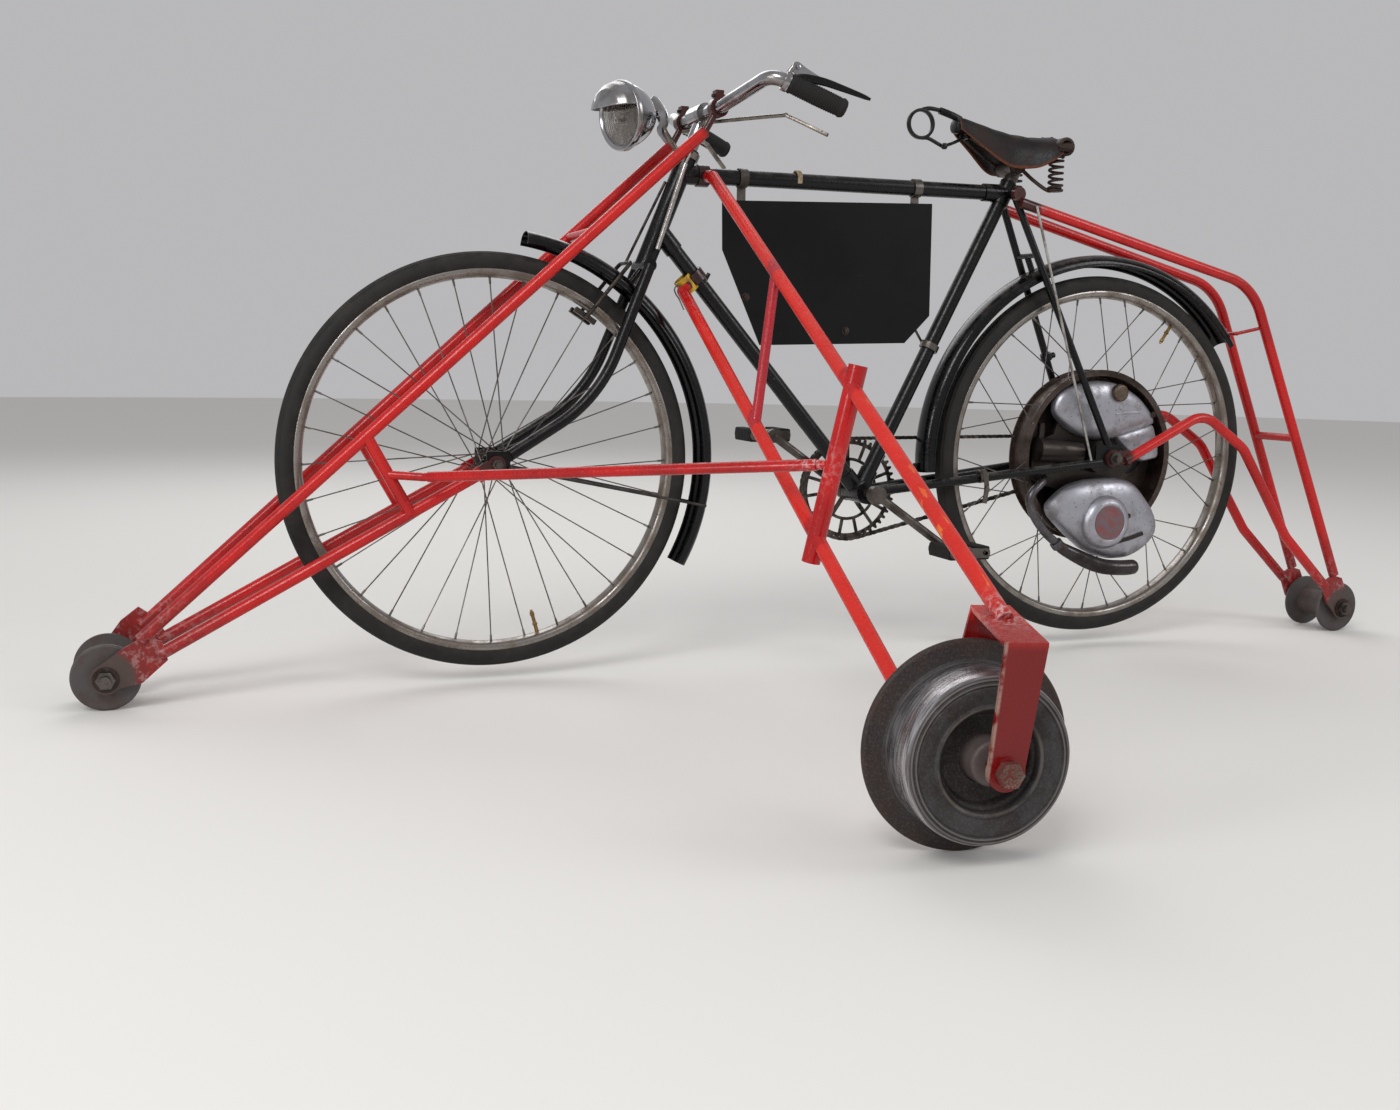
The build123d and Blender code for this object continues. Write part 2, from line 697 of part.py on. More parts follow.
# Handlebar, grips and saddle
stem_top = head_top + head_axis * stem_height
bar_steps = ((150, -264, -17), (33, -241, 31), (0, -105, 0), (0, 105, 0), (33, 241, 31), (150, 264, -17))
bar_points = [bar_centre + Vector(*step) for step in bar_steps]
with BuildPart() as handlebar:
    rod(head_top + head_axis * seat_gap, stem_top, stem_d)
    disc(bar_x, bar_z, -30, 30, bar_clamp_d)
    bent_rod(bar_points, 32, bar_d)
save(handlebar, "handlebar")

with BuildPart() as grips:
    for end, bend in ((bar_points[0], bar_points[1]), (bar_points[5], bar_points[4])):
        grip_axis = (bend - end).normalized()
        rod(end - grip_axis * 4, end + grip_axis * grip_length, grip_d)
        grip_hole = bar_d + 2 * seat_gap
        rod(end - grip_axis * seat_gap, end + grip_axis * 2 * grip_length, grip_hole, Mode.SUBTRACT)
save(grips, "grips")

lever_steps = ((-3, 16.8, -22), (-8, 60, -20), (81, 185, -20), (136, 235, -55))
clutch_steps = ((54, -246.5, 44), (110, -258, 26), (182, -272, -1))
clutch_clamp = bar_points[1] + (bar_points[0] - bar_points[1]) * 0.195
with BuildPart() as hand_levers:
    for side in (-1, 1):
        bent_rod([bar_centre + Vector(x, side * y, z) for x, y, z in lever_steps], 12, lever_d)
    ring(clutch_clamp, bar_points[0] - bar_points[1], 7, bar_d, 4)
    rod(clutch_clamp + Vector(0, 0, 14), bar_centre + Vector(56, -247, 44), 8)
    bent_rod([bar_centre + Vector(*step) for step in clutch_steps], 60, 8)
save(hand_levers, "hand_levers")

seat_clamp = seat_lug + Vector(10, 0, 47)
seat_clamp_y = 24.0
with BuildPart() as seat_post:
    rod(seat_tube_top + seat_tube_axis * seat_gap, seat_tube_top + seat_tube_axis * 30, seat_post_d)
    disc(seat_clamp.X, seat_clamp.Z, -seat_clamp_y, seat_clamp_y, 30)
save(seat_post, "seat_post")

roll_x = seat_lug.X + 73
roll_z = seat_lug.Z + 80
saddle_end = roll_x - saddle_roll_d / 2 - seat_gap - seat_lug.X
saddle_nose = -107.0
# Each row is one section of the leather: its X, its half width, the height of its top and its depth,
# with X and the height measured from the seat lug
saddle_rows = (
    (saddle_nose, 20, 134, 26),
    (-63, 26, 125, 52),
    (-18, 40, 114, 76),
    (22, 66, 106, 74),
    (saddle_end, 90, 101, 58),
)
with BuildPart() as saddle:
    for shrink, mode in ((0, Mode.ADD), (saddle_t, Mode.SUBTRACT)):
        sections = []
        for x, half, top, skirt in saddle_rows:
            edge = half - shrink
            shoulder = half * 0.35
            plane = Plane(origin=seat_lug + Vector(x, 0, top - shrink), x_dir=across, z_dir=(1, 0, 0))
            with BuildSketch(plane) as section:
                with BuildLine():
                    ThreePointArc((-edge, -shoulder), (0, 0), (edge, -shoulder))
                    Polyline((edge, -shoulder), (edge, -skirt), (-edge, -skirt), (-edge, -shoulder))
                make_face()
            sections.append(section.sketch)
        loft(sections, mode=mode)
save(saddle, "saddle")

nose_ring = seat_lug + Vector(-184, 0, 116)
nose_ring_d = 56.0
nose_bolt = seat_lug + Vector(-91, 0, 96)
spring_x = seat_lug.X + 67
spring_y = 70.0
spring_low = seat_lug.Z + 4
spring_high = seat_lug.Z + 58
with BuildPart() as saddle_frame:
    for side in (-1, 1):
        disc(seat_clamp.X, seat_clamp.Z, side * (seat_clamp_y + seat_gap), side * (seat_clamp_y + 12), 26)
        rod(seat_clamp + across * side * 31, nose_bolt + across * side * 12, saddle_rod_d)
        rod(seat_clamp + across * side * 31, (spring_x, side * spring_y, spring_low), saddle_rod_d)
        waves = [(0, 0), (0, 15)]
        turns = 6
        step = (spring_high - spring_low) / turns
        for turn in range(turns):
            for share, reach in ((0.3, 15), (0.5, 11), (0.7, 11), (0.95, 15)):
                waves.append(((turn + share) * step, reach))
        waves += [(turns * step, 15), (turns * step, 0)]
        lathe((spring_x, side * spring_y, spring_low), (0.0001, 0, 1), waves)
        disc(roll_x, roll_z, side * (spring_y - 12), side * (spring_y + 22), saddle_roll_d)
        rod((spring_x, side * spring_y, spring_high - 2), (roll_x, side * spring_y, roll_z), 14)
    disc(roll_x, roll_z, -spring_y, spring_y, 10)
    disc(nose_ring.X, nose_ring.Z, -4, 4, nose_ring_d)
    disc(nose_ring.X, nose_ring.Z, -5, 5, nose_ring_d - 12, Mode.SUBTRACT)
    rod(nose_ring + Vector(4, 0, 25), seat_lug + Vector(saddle_nose - 1.2, 0, 130), saddle_rod_d)
    rod(nose_ring + Vector(4, 0, -25), nose_bolt, saddle_rod_d)
    disc(nose_bolt.X, nose_bolt.Z, -16, 16, 8)
save(saddle_frame, "saddle_frame")

# Headlamp and its bracket
lamp_centre = head_top + Vector(-132, -6, 48)
lamp_direction = Vector(-0.93, -0.32, -0.12).normalized()
lamp_r = lamp_d / 2
lens_r = lens_d / 2
lamp_side = lamp_direction.cross(Vector(0, 0, 1)).normalized()
hood_up = lamp_side.cross(lamp_direction).normalized()
hood_edge = 14.0
with BuildPart() as headlamp:
    lathe(
        lamp_centre,
        lamp_direction,
        [
            (-3, 0),
            (-3, lens_r + seat_gap),
            (0, lens_r + seat_gap),
            (1.5, lamp_r - 6),
            (14, lamp_r - 9),
            (26, lamp_r - 18),
            (34, lamp_r - 32),
            (37, lamp_r - 48),
            (39, lamp_r - 48),
            (36, lamp_r - 31),
            (28, lamp_r - 16),
            (15, lamp_r - 6),
            (2, lamp_r - 3),
            (-2, lamp_r),
            (-11, lamp_r),
            (-14, lamp_r - 5),
            (-34, lamp_r - 12),
            (-56, lamp_r - 26),
            (-70, lamp_r - 45),
            (-72, 0),
        ],
    )
    hood_foot = lamp_centre + lamp_direction * 3 + hood_up * hood_edge
    hood_cut = Plane(origin=hood_foot, x_dir=hood_up, z_dir=lamp_direction)
    with Locations(hood_cut.location):
        Box(2 * lamp_d, 2 * lamp_d, lamp_d, align=(Align.MAX, Align.CENTER, Align.MIN), mode=Mode.SUBTRACT)
save(headlamp, "headlamp")

with BuildPart() as lamp_lens:
    lathe(
        lamp_centre,
        lamp_direction,
        [
            (-3 + seat_gap, 0),
            (-3 + seat_gap, lens_r),
            (0, lens_r),
            (7, lens_r * 0.7),
            (11, lens_r * 0.35),
            (12, 0),
        ],
    )
save(lamp_lens, "lamp_lens")

bracket_ring = head_top - head_axis * 10
with BuildPart() as lamp_bracket:
    ring(bracket_ring, head_axis, 12, head_tube_d, 3)
    lamp_back = lamp_centre - lamp_direction * 72.3
    stalk_foot = bracket_ring + Vector(-20, 0, 6)
    stalk_knee = bracket_ring + Vector(-42, 0, 36)
    bent_rod([stalk_foot, stalk_knee, lamp_back - lamp_direction * 14, lamp_back], 6, 10)
save(lamp_bracket, "lamp_bracket")

# Mudguards and their stays
with BuildPart() as front_mudguard:
    guard(front_guard_x, 82, 111)
save(front_mudguard, "front_mudguard")

with BuildPart() as rear_mudguard:
    guard(wheel_base, 184, 148)
save(rear_mudguard, "rear_mudguard")

# Stays of the front mudguard and of the rear guide frame
rear_guide_high = seat_lug + Vector(10, 0, -20)
rear_guide_corner = rear_centre + Vector(wheel_r - 32.5, 0, wheel_r - 11)
rear_guide_foot = Vector(rear_roller_x - 28, 0, roller_z + 73)
stay_angle = radians(-12)
guard_edge = front_guard_centre + Vector(cos(stay_angle), 0, sin(stay_angle)) * (wheel_r + guard_gap + 3)
with BuildPart() as stays:
    for side in (-1, 1):
        stay_end = guard_edge + across * side * (guard_w / 2 + 3.1)
        rod((20, side * (tab_low + 4), wheel_r - 6), stay_end, guard_stay_d)
    brace_top = rear_guide_high + (rear_guide_corner - rear_guide_high) * 0.05
    brace_y = -rear_guide_top_y - 1 - guide_tube_d / 2 - guard_stay_d / 2
    rod(brace_top + across * brace_y, rear_centre + Vector(-53, -73.2, -3.5), guard_stay_d)
save(stays, "stays")

# Rod brake of the front wheel
shoe_r = rim_top_r - rim_depth - 11.5
shoe_direction = Vector(cos(radians(brake_shoe_angle)), 0, sin(radians(brake_shoe_angle)))
shoe_centre = front_centre + shoe_direction * shoe_r
bow_top = crown + Vector(-33.6, 0, 3.8)
bow_y = guard_w / 2 + 6
with BuildPart() as front_brake:
    bent_rod(
        [
            shoe_centre + across * -16,
            shoe_centre + across * -bow_y,
            bow_top + across * -bow_y,
            bow_top + across * bow_y,
            shoe_centre + across * bow_y,
            shoe_centre + across * 16,
        ],
        9,
        brake_bow_d,
    )
    for side in (-1, 1):
        shoe_end = shoe_centre + across * side * 16
        seat = Plane(origin=shoe_end, x_dir=shoe_direction.cross(across), z_dir=shoe_direction)
        with Locations(seat.location):
            Box(42, 10, 9)
    rod(bow_top, head_top + Vector(-44.5, 0, -56), brake_rod_d)
    rod(head_top + Vector(-16, -24, -26), head_top + Vector(-66, -24, -174), brake_rod_d + 4)
    rod(head_top + Vector(-16, -24, -26), head_top + Vector(11, -38, 33.8), brake_rod_d)
save(front_brake, "front_brake")

# Sign plate under the top tube, its corners as shares of the way from the top tube's front to the seat lug
# and as depths below the head tube's top
top_tube_run = seat_lug - top_tube_front
sign_steps = ((0.1213, 82), (0.7647, 67), (0.7693, 274), (0.6913, 326), (0.2405, 335), (0.1244, 168))
sign_corners = [
    (top_tube_front.X + top_tube_run.X * share, head_top.Z - depth)
    for share, depth in sign_steps
]
with BuildPart() as sign_plate:
    with BuildSketch(Plane(origin=(0, 1, 0), x_dir=(1, 0, 0), z_dir=-across)) as outline:
        with BuildLine():
            Polyline(*sign_corners, close=True)
        make_face()
    extrude(outline.sketch, amount=2)
save(sign_plate, "sign_plate")

clip_y = 1 + seat_gap + 1.25
with BuildPart() as sign_clips:
    for share, edge_depth in ((0.178, 80.6), (0.71, 68.6)):
        centre = top_tube_front + top_tube_run * share
        top_z = centre.Z - frame_tube_d / 2 - 2
        low_z = head_top.Z - edge_depth - 16
        ring(centre, top_tube_run, 16, frame_tube_d, 2.5)
        with Locations((centre.X, clip_y, (top_z + low_z) / 2)):
            Box(16, 2.5, top_z - low_z)
    seat_ring = crank_centre + seat_tube_axis * ((head_top.Z - 332 - crank_axle_z) / seat_tube_axis.Z)
    ring(seat_ring, seat_tube_axis, 12, frame_tube_d, 4)
    strap_start = Vector(sign_corners[2][0] - 32, clip_y + 1.5, sign_corners[2][1] - 18)
    rod(strap_start, seat_ring + Vector(-5, 16, 5), 5)
save(sign_clips, "sign_clips")

# Places on the outrigger
toe_axis = Vector(sin(radians(outrigger_toe)), cos(radians(outrigger_toe)), 0)
toe_x = Vector(cos(radians(outrigger_toe)), -sin(radians(outrigger_toe)), 0)
outrigger_centre = Vector(outrigger_x, outrigger_flange_y - outrigger_tread_w / 2, outrigger_z)
strap_far = outrigger_tread_w / 2 + outrigger_flange_t + 25
strap_near = -outrigger_tread_w / 2 - 35
foot_near = 120.0
foot_far = 150.0
crown_turn = radians(crown_toe)
crown_along = Vector(sin(crown_turn), cos(crown_turn), sin(radians(crown_tilt))).normalized()
crown_side = Vector(cos(crown_turn), -sin(crown_turn), 0)
crown_centre = outrigger_centre + Vector(26, -6, 149)
crown_half = 80.0
high_ring = top_tube_front + top_tube_run * 0.0617
low_ring = down_tube_front + (crank_centre - down_tube_front) * 0.1701
upper_start = high_ring + Vector(4, -44, -5.6)
upper_end = crown_centre + Vector(6, 15, 4)
lower_start = low_ring + Vector(-28.5, -18, -24.8)
lower_end = outrigger_centre + toe_axis * foot_far + Vector(-17.3, 0, 2)
post_top = upper_start + (upper_end - upper_start) * 0.5814 + Vector(8.4, 0, 30.5)
post_foot = lower_start + (lower_end - lower_start) * 0.6539 + Vector(-6.6, 0, -38)

# Guide frames
guide_high = bar_centre + Vector(-22, 0, -40)
guide_foot = Vector(front_roller_x + 52, 0, roller_z + 60)
guide_low_high = front_centre + Vector(-26, 0, -14)
guide_low_foot = Vector(front_roller_x + 80, 0, roller_z + 35)
strut_top = guide_high + (guide_foot - guide_high) * 0.6175
strut_foot = guide_low_high + (guide_low_foot - guide_low_high) * 0.2325
guide_share = share_at(guide_high, guide_foot, front_centre, wheel_r + 64.8)
guide_cross = guide_high + (guide_foot - guide_high) * guide_share
lug_start = strut_top + (strut_foot - strut_top) * 0.4885 - across * 70
lug_end = lug_start + Vector(54, -18, -3)
tie_end = post_foot + (post_top - post_foot) * 0.504
tie_direction = (tie_end - lug_end).normalized()


def guide_y(x):
    """Gives the distance of the front guide frame's tubes from the middle at a value of X."""
    return plate_y + (guide_top_y - plate_y) * (x - guide_foot.X) / (guide_high.X - guide_foot.X)


def side_plate(x, z, y, corners):
    """Adds a plate that carries a roller axle, given by corners measured from the axle."""
    with BuildSketch(Plane(origin=(x, y + plate_t / 2, z), x_dir=(1, 0, 0), z_dir=-across)) as outline:
        with BuildLine():
            Polyline(*corners, close=True)
        make_face()
        Circle(24)
    extrude(outline.sketch, amount=plate_t)


near_plate = [(-10, -22), (54, -8), (92, 26), (84, 56), (60, 66), (30, 50), (-18, 16)]
far_plate = [(-14, -20), (40, -8), (90, 44), (76, 72), (48, 92), (20, 70), (-20, 14)]

with BuildPart() as front_guide:
    for side, corners in ((-1, near_plate), (1, far_plate)):
        y = side * plate_y
        tab_y = side * (tab_low + plate_t / 2)
        rod(guide_high + across * side * guide_top_y, guide_foot + across * y, guide_tube_d)
        rod(guide_low_high + across * tab_y, guide_low_foot + across * y, guide_tube_d)
        disc(0, wheel_r, tab_y - plate_t / 2, tab_y + plate_t / 2, 30)
        ear = Plane(origin=front_centre + Vector(-16, tab_y, -9), x_dir=(-0.88, 0, -0.48), z_dir=across)
        with Locations(ear.location):
            Box(40, 26, plate_t)
        rod(strut_top + across * side * guide_y(strut_top.X), strut_foot + across * side * 60, guide_tube_d)
        side_plate(front_roller_x, roller_z, y, corners)
        rod(guide_high + across * side * guide_top_y, (bar_x, side * guide_clamp_y, bar_z), 12)
        low = guide_clamp_y - guide_clamp_w / 2
        disc(bar_x, bar_z, side * low, side * (low + guide_clamp_w), bar_d + 10)
        with Locations((bar_x, side * guide_clamp_y, bar_z + 20)):
            Box(14, guide_clamp_w, 16)
    guide_cross_y = guide_y(guide_cross.X)
    disc(guide_cross.X, guide_cross.Z, -guide_cross_y, guide_cross_y, strut_d)
    rod(lug_start, lug_end, tie_bar_d - 3)
    rod(lug_end, lug_end + tie_direction * 10, tie_bar_d - 3)
    disc(bar_x, bar_z, -110, 110, bar_d + 2 * seat_gap, Mode.SUBTRACT)
    disc(front_roller_x, roller_z, -90, 90, roller_axle_d + 2 * seat_gap, Mode.SUBTRACT)
    disc(0, wheel_r, -90, 90, front_axle_d + 2 * seat_gap, Mode.SUBTRACT)
save(front_guide, "front_guide")

rear_plate = [(12, -22), (20, 12), (-8, 66), (-30, 72), (-60, 56), (-40, 10), (-10, -22)]
low_bend = rear_centre + Vector(320, 0, 16.5)
low_foot = Vector(rear_roller_x - 50, 0, roller_z + 49)
rear_low_path = (
    rear_centre + Vector(27, 0, -5.5),
    rear_centre + Vector(213, 0, 88.5),
    low_bend,
    low_bend + (low_foot - low_bend) * 0.518 - Vector(0, 0, 31.6),
    low_foot,
)
guard_bar_angle = radians(37.94)
guard_bar = rear_centre + Vector(cos(guard_bar_angle), 0, sin(guard_bar_angle)) * (guard_outer + 10.3)
guard_bar_end = rear_guide_corner + (rear_guide_foot - rear_guide_corner) * 0.1367
rear_cross = rear_guide_corner + (rear_guide_foot - rear_guide_corner) * 0.5133
with BuildPart() as rear_guide:
    for side, corners in ((-1, rear_plate), (1, rear_plate)):
        y = side * plate_y
        tab = rear_tab + plate_t / 2
        upper = []
        for point in (rear_guide_high, rear_guide_corner, rear_guide_foot):
            share = (point.X - rear_guide_high.X) / (rear_guide_foot.X - rear_guide_high.X)
            upper.append(point + across * side * (rear_guide_top_y + (plate_y - rear_guide_top_y) * share))
        bent_rod(upper, rear_guide_bend, guide_tube_d)
        lower = []
        for point in rear_low_path:
            share = (point.X - rear_low_path[0].X) / (low_foot.X - rear_low_path[0].X)
            lower.append(point + across * side * (tab + (plate_y - tab) * share))
        bent_rod(lower, 60, guide_tube_d)
        disc(stay_top.X, stay_top.Z, side * (stay_ear_y + 2), side * rear_guide_top_y, 26)
        disc(wheel_base, wheel_r, side * tab - plate_t / 2, side * tab + plate_t / 2, 34)
        with Locations((wheel_base + 22, side * tab, wheel_r + 2)):
            Box(40, plate_t, 26)
        side_plate(rear_roller_x, roller_z, y, corners)
        rod(guard_bar + across * side * 22, guard_bar_end + across * side * 54, 7)
    disc(guard_bar.X, guard_bar.Z, -24, 24, 8)
    disc(rear_cross.X, rear_cross.Z, -58, 58, strut_d)
    disc(rear_roller_x, roller_z, -90, 90, roller_axle_d + 2 * seat_gap, Mode.SUBTRACT)
    disc(wheel_base, wheel_r, -100, 100, rear_axle_d + 2 * seat_gap, Mode.SUBTRACT)
save(rear_guide, "rear_guide")


def guide_roller(x):
    """Adds a roller with a flange on both sides of the rail."""
    half = roller_w / 2
    tread = half - roller_flange_t
    bore = roller_axle_d / 2 + bearing_gap
    lathe(
        (x, 0, roller_z),
        across,
        [
            (-half - 5, bore),
            (-half - 5, 17),
            (-half, 17),
            (-half, roller_flange_d / 2 - 3),
            (-half + 3, roller_flange_d / 2),
            (-tread - 3, roller_flange_d / 2),
            (-tread, roller_tread_d / 2),
            (tread, roller_tread_d / 2),
            (tread + 3, roller_flange_d / 2),
            (half - 3, roller_flange_d / 2),
            (half, roller_flange_d / 2 - 3),
            (half, 17),
            (half + 5, 17),
            (half + 5, bore),
        ],
    )


for x, name in ((front_roller_x, "front_roller"), (rear_roller_x, "rear_roller")):
    with BuildPart() as roller:
        guide_roller(x)
    save(roller, name)

with BuildPart() as roller_axles:
    for x in (front_roller_x, rear_roller_x):
        end = plate_y + plate_t / 2
        disc(x, roller_z, -end - 18, end + 18, roller_axle_d)
        for side in (-1, 1):
            nut(x, roller_z, side * end, side, 10, 26)
save(roller_axles, "roller_axles")

# Outrigger, its post, fork and wheel
def on_axle(distance):
    """Gives the point of the outrigger wheel's axle at a distance from the middle of its tread."""
    return outrigger_centre + toe_axis * distance


with BuildPart() as outrigger_frame:
    ring(high_ring, top_tube_run, 20, frame_tube_d + 2 * lug_extra, 2.5)
    rod(high_ring + Vector(2, -21, -2.6), upper_start, outrigger_tube_d)
    rod(upper_start, upper_end, outrigger_tube_d)
    ring(low_ring, crank_centre - down_tube_front, 20, frame_tube_d, 5)
    rod(low_ring + Vector(-14.5, -15, -13.8), lower_start, 14)
    rod(lower_start, lower_end, outrigger_tube_d)
    rod(post_top, post_foot, post_d)
    rod(tie_end, tie_end - tie_direction * tie_lug, tie_bar_d - 3)
    strut_high = upper_start + (upper_end - upper_start) * 0.2957
    strut_low = lower_start + (lower_end - lower_start) * 0.3923
    rod(strut_high, strut_low, strut_d)
    rod(on_axle(foot_near), on_axle(foot_far), 40)
    crown_plane = Plane(origin=crown_centre, x_dir=crown_along, z_dir=crown_along.cross(-crown_side))
    with Locations(crown_plane.location):
        Box(2 * crown_half, strap_w, strap_t)
    for distance, end in ((strap_far, crown_half - strap_t / 2), (strap_near, -crown_half + strap_t / 2)):
        with BuildSketch(Plane(origin=on_axle(distance), x_dir=toe_x, z_dir=(0, 0, 1))) as foot:
            Rectangle(strap_w - 4, strap_t)
        crown_end = crown_centre + crown_along * end
        with BuildSketch(Plane(origin=crown_end, x_dir=crown_side, z_dir=(0, 0, 1))) as top:
            Rectangle(strap_w, strap_t)
        loft([foot.sketch, top.sketch])
        half = toe_axis * (strap_t / 2 + 0.6)
        rod(on_axle(distance) - half, on_axle(distance) + half, strap_w - 3)
    rod(on_axle(strap_near), on_axle(strap_near - strap_t / 2 - 2.5), 36)
    rod(on_axle(strap_near - 9), on_axle(foot_far + 9), outrigger_axle_d + 2 * seat_gap, Mode.SUBTRACT)
save(outrigger_frame, "outrigger_frame")

with BuildPart() as outrigger_axle:
    head = strap_near - strap_t / 2 - 2.5
    rod(on_axle(head), on_axle(foot_far + 4), outrigger_axle_d)
    with BuildSketch(Plane(origin=on_axle(head - 12), x_dir=toe_x, z_dir=toe_axis)) as hexagon:
        RegularPolygon(13.5, 6, major_radius=False)
    extrude(hexagon.sketch, amount=12)
save(outrigger_axle, "outrigger_axle")

with BuildPart() as outrigger_wheel:
    bore = outrigger_axle_d / 2 + bearing_gap
    tread_r = outrigger_tread_d / 2
    flange_r = outrigger_flange_d / 2
    back = outrigger_tread_w / 2 + outrigger_flange_t
    face = -outrigger_tread_w / 2
    recess_r = outrigger_recess_d / 2
    hub_r = outrigger_hub_d / 2
    lathe(
        outrigger_centre,
        toe_axis,
        [
            (back, bore),
            (back, flange_r - 3),
            (back - 3, flange_r),
            (back - outrigger_flange_t + 4, flange_r),
            (back - outrigger_flange_t, tread_r),
            (face + 8, tread_r - 2),
            (face, tread_r - 9),
            (face, recess_r + 26),
            (face + 2, recess_r + 25),
            (face + 2, recess_r + 21),
            (face, recess_r + 20),
            (face, recess_r),
            (face + outrigger_recess, recess_r - 4),
            (face + outrigger_recess, hub_r),
            (face - 6, hub_r),
            (face - 6, bore),
        ],
    )
save(outrigger_wheel, "outrigger_wheel")

# Tie bar from the front guide to the outrigger post
with BuildPart() as tie_bar:
    rod(lug_end + tie_direction * (seat_gap + 10), tie_end - tie_direction * (tie_lug + seat_gap), tie_bar_d)
save(tie_bar, "tie_bar")
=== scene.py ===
from math import radians

import bmesh
import bpy
import numpy as np
from mathutils import Matrix, Vector


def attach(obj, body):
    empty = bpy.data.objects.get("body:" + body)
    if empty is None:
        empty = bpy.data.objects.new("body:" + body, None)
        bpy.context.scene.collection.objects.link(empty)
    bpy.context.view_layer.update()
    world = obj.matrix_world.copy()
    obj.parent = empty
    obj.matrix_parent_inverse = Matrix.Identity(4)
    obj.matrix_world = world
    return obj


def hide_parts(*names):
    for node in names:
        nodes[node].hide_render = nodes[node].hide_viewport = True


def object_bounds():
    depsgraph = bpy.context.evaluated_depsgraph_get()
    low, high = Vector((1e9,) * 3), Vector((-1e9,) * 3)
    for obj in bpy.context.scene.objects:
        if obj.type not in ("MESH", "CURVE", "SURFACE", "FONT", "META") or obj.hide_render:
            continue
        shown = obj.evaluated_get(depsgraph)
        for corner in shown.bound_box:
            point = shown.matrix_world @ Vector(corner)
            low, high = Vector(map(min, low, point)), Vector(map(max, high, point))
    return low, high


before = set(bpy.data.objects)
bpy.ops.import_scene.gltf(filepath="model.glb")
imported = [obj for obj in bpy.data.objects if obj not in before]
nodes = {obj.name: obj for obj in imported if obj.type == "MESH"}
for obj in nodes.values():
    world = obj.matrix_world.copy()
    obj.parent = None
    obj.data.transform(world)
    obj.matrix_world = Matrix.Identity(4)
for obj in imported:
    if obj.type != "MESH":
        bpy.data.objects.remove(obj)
cad_low, cad_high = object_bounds()

# Shapes are worked out in millimetres and put into the meshes in metres.
# +X points to the rear of the bike, -Y to its outrigger and +Z up.
MM = 0.001
WHEEL_R = 355.5
WHEEL_BASE = 1225.0
FRONT_CENTRE = np.array((0.0, 0.0, WHEEL_R))
REAR_CENTRE = np.array((WHEEL_BASE, 0.0, WHEEL_R))
CRANK_CENTRE = np.array((706.0, 0.0, 293.0))
ACROSS = np.array((0.0, 1.0, 0.0))
UP = np.array((0.0, 0.0, 1.0))
TYRE_R = 19.0
TYRE_MIDDLE_R = WHEEL_R - TYRE_R
RIM_TOP_R = 325.5
RIM_INNER_R = 311.5
CHAIN_Y = 47.0
CHAIN_PITCH = 12.7
CHAINRING_TEETH = 48
SPROCKET_TEETH = 19
PEDAL_Y = 128.0
GUARD_EDGE_R = WHEEL_R + 18.0
GUARD_RISE = 22.0
GUARD_HALF = 28.0
GUARD_SHEET = 1.6
BAR_CENTRE = np.array((374.4, 0.0, 957.9))
SPRING_X = 1060.0
SPRING_Y = 70.0
SIDES = (-1.0, 1.0)
ROLLER_PLACES = [(x, side * 66.0, 27.0) for x in (-620.0, 1840.0) for side in SIDES]


# ---- shader wiring


def rule(operation):
    """An operator of Wire and its reflected form: one Math node."""

    def plain(self, other):
        return self.finish.node("ShaderNodeMath", {"operation": operation}, {0: self, 1: other})

    def reflected(self, other):
        return self.finish.node("ShaderNodeMath", {"operation": operation}, {0: other, 1: self})

    return plain, reflected


class Wire:
    """A shader socket on which sums, differences and products can be written."""

    def __init__(self, finish, socket):
        self.finish = finish
        self.socket = socket

    __add__, __radd__ = rule("ADD")
    __sub__, __rsub__ = rule("SUBTRACT")
    __mul__, __rmul__ = rule("MULTIPLY")


def tone(red, green, blue):
    """Turns a colour as it is seen on a screen, 0 to 255, into the linear colour that a shader takes."""
    seen = np.array((red, green, blue)) / 255.0
    linear = np.where(seen <= 0.04045, seen / 12.92, ((seen + 0.055) / 1.055) ** 2.4)
    return (*linear.tolist(), 1.0)


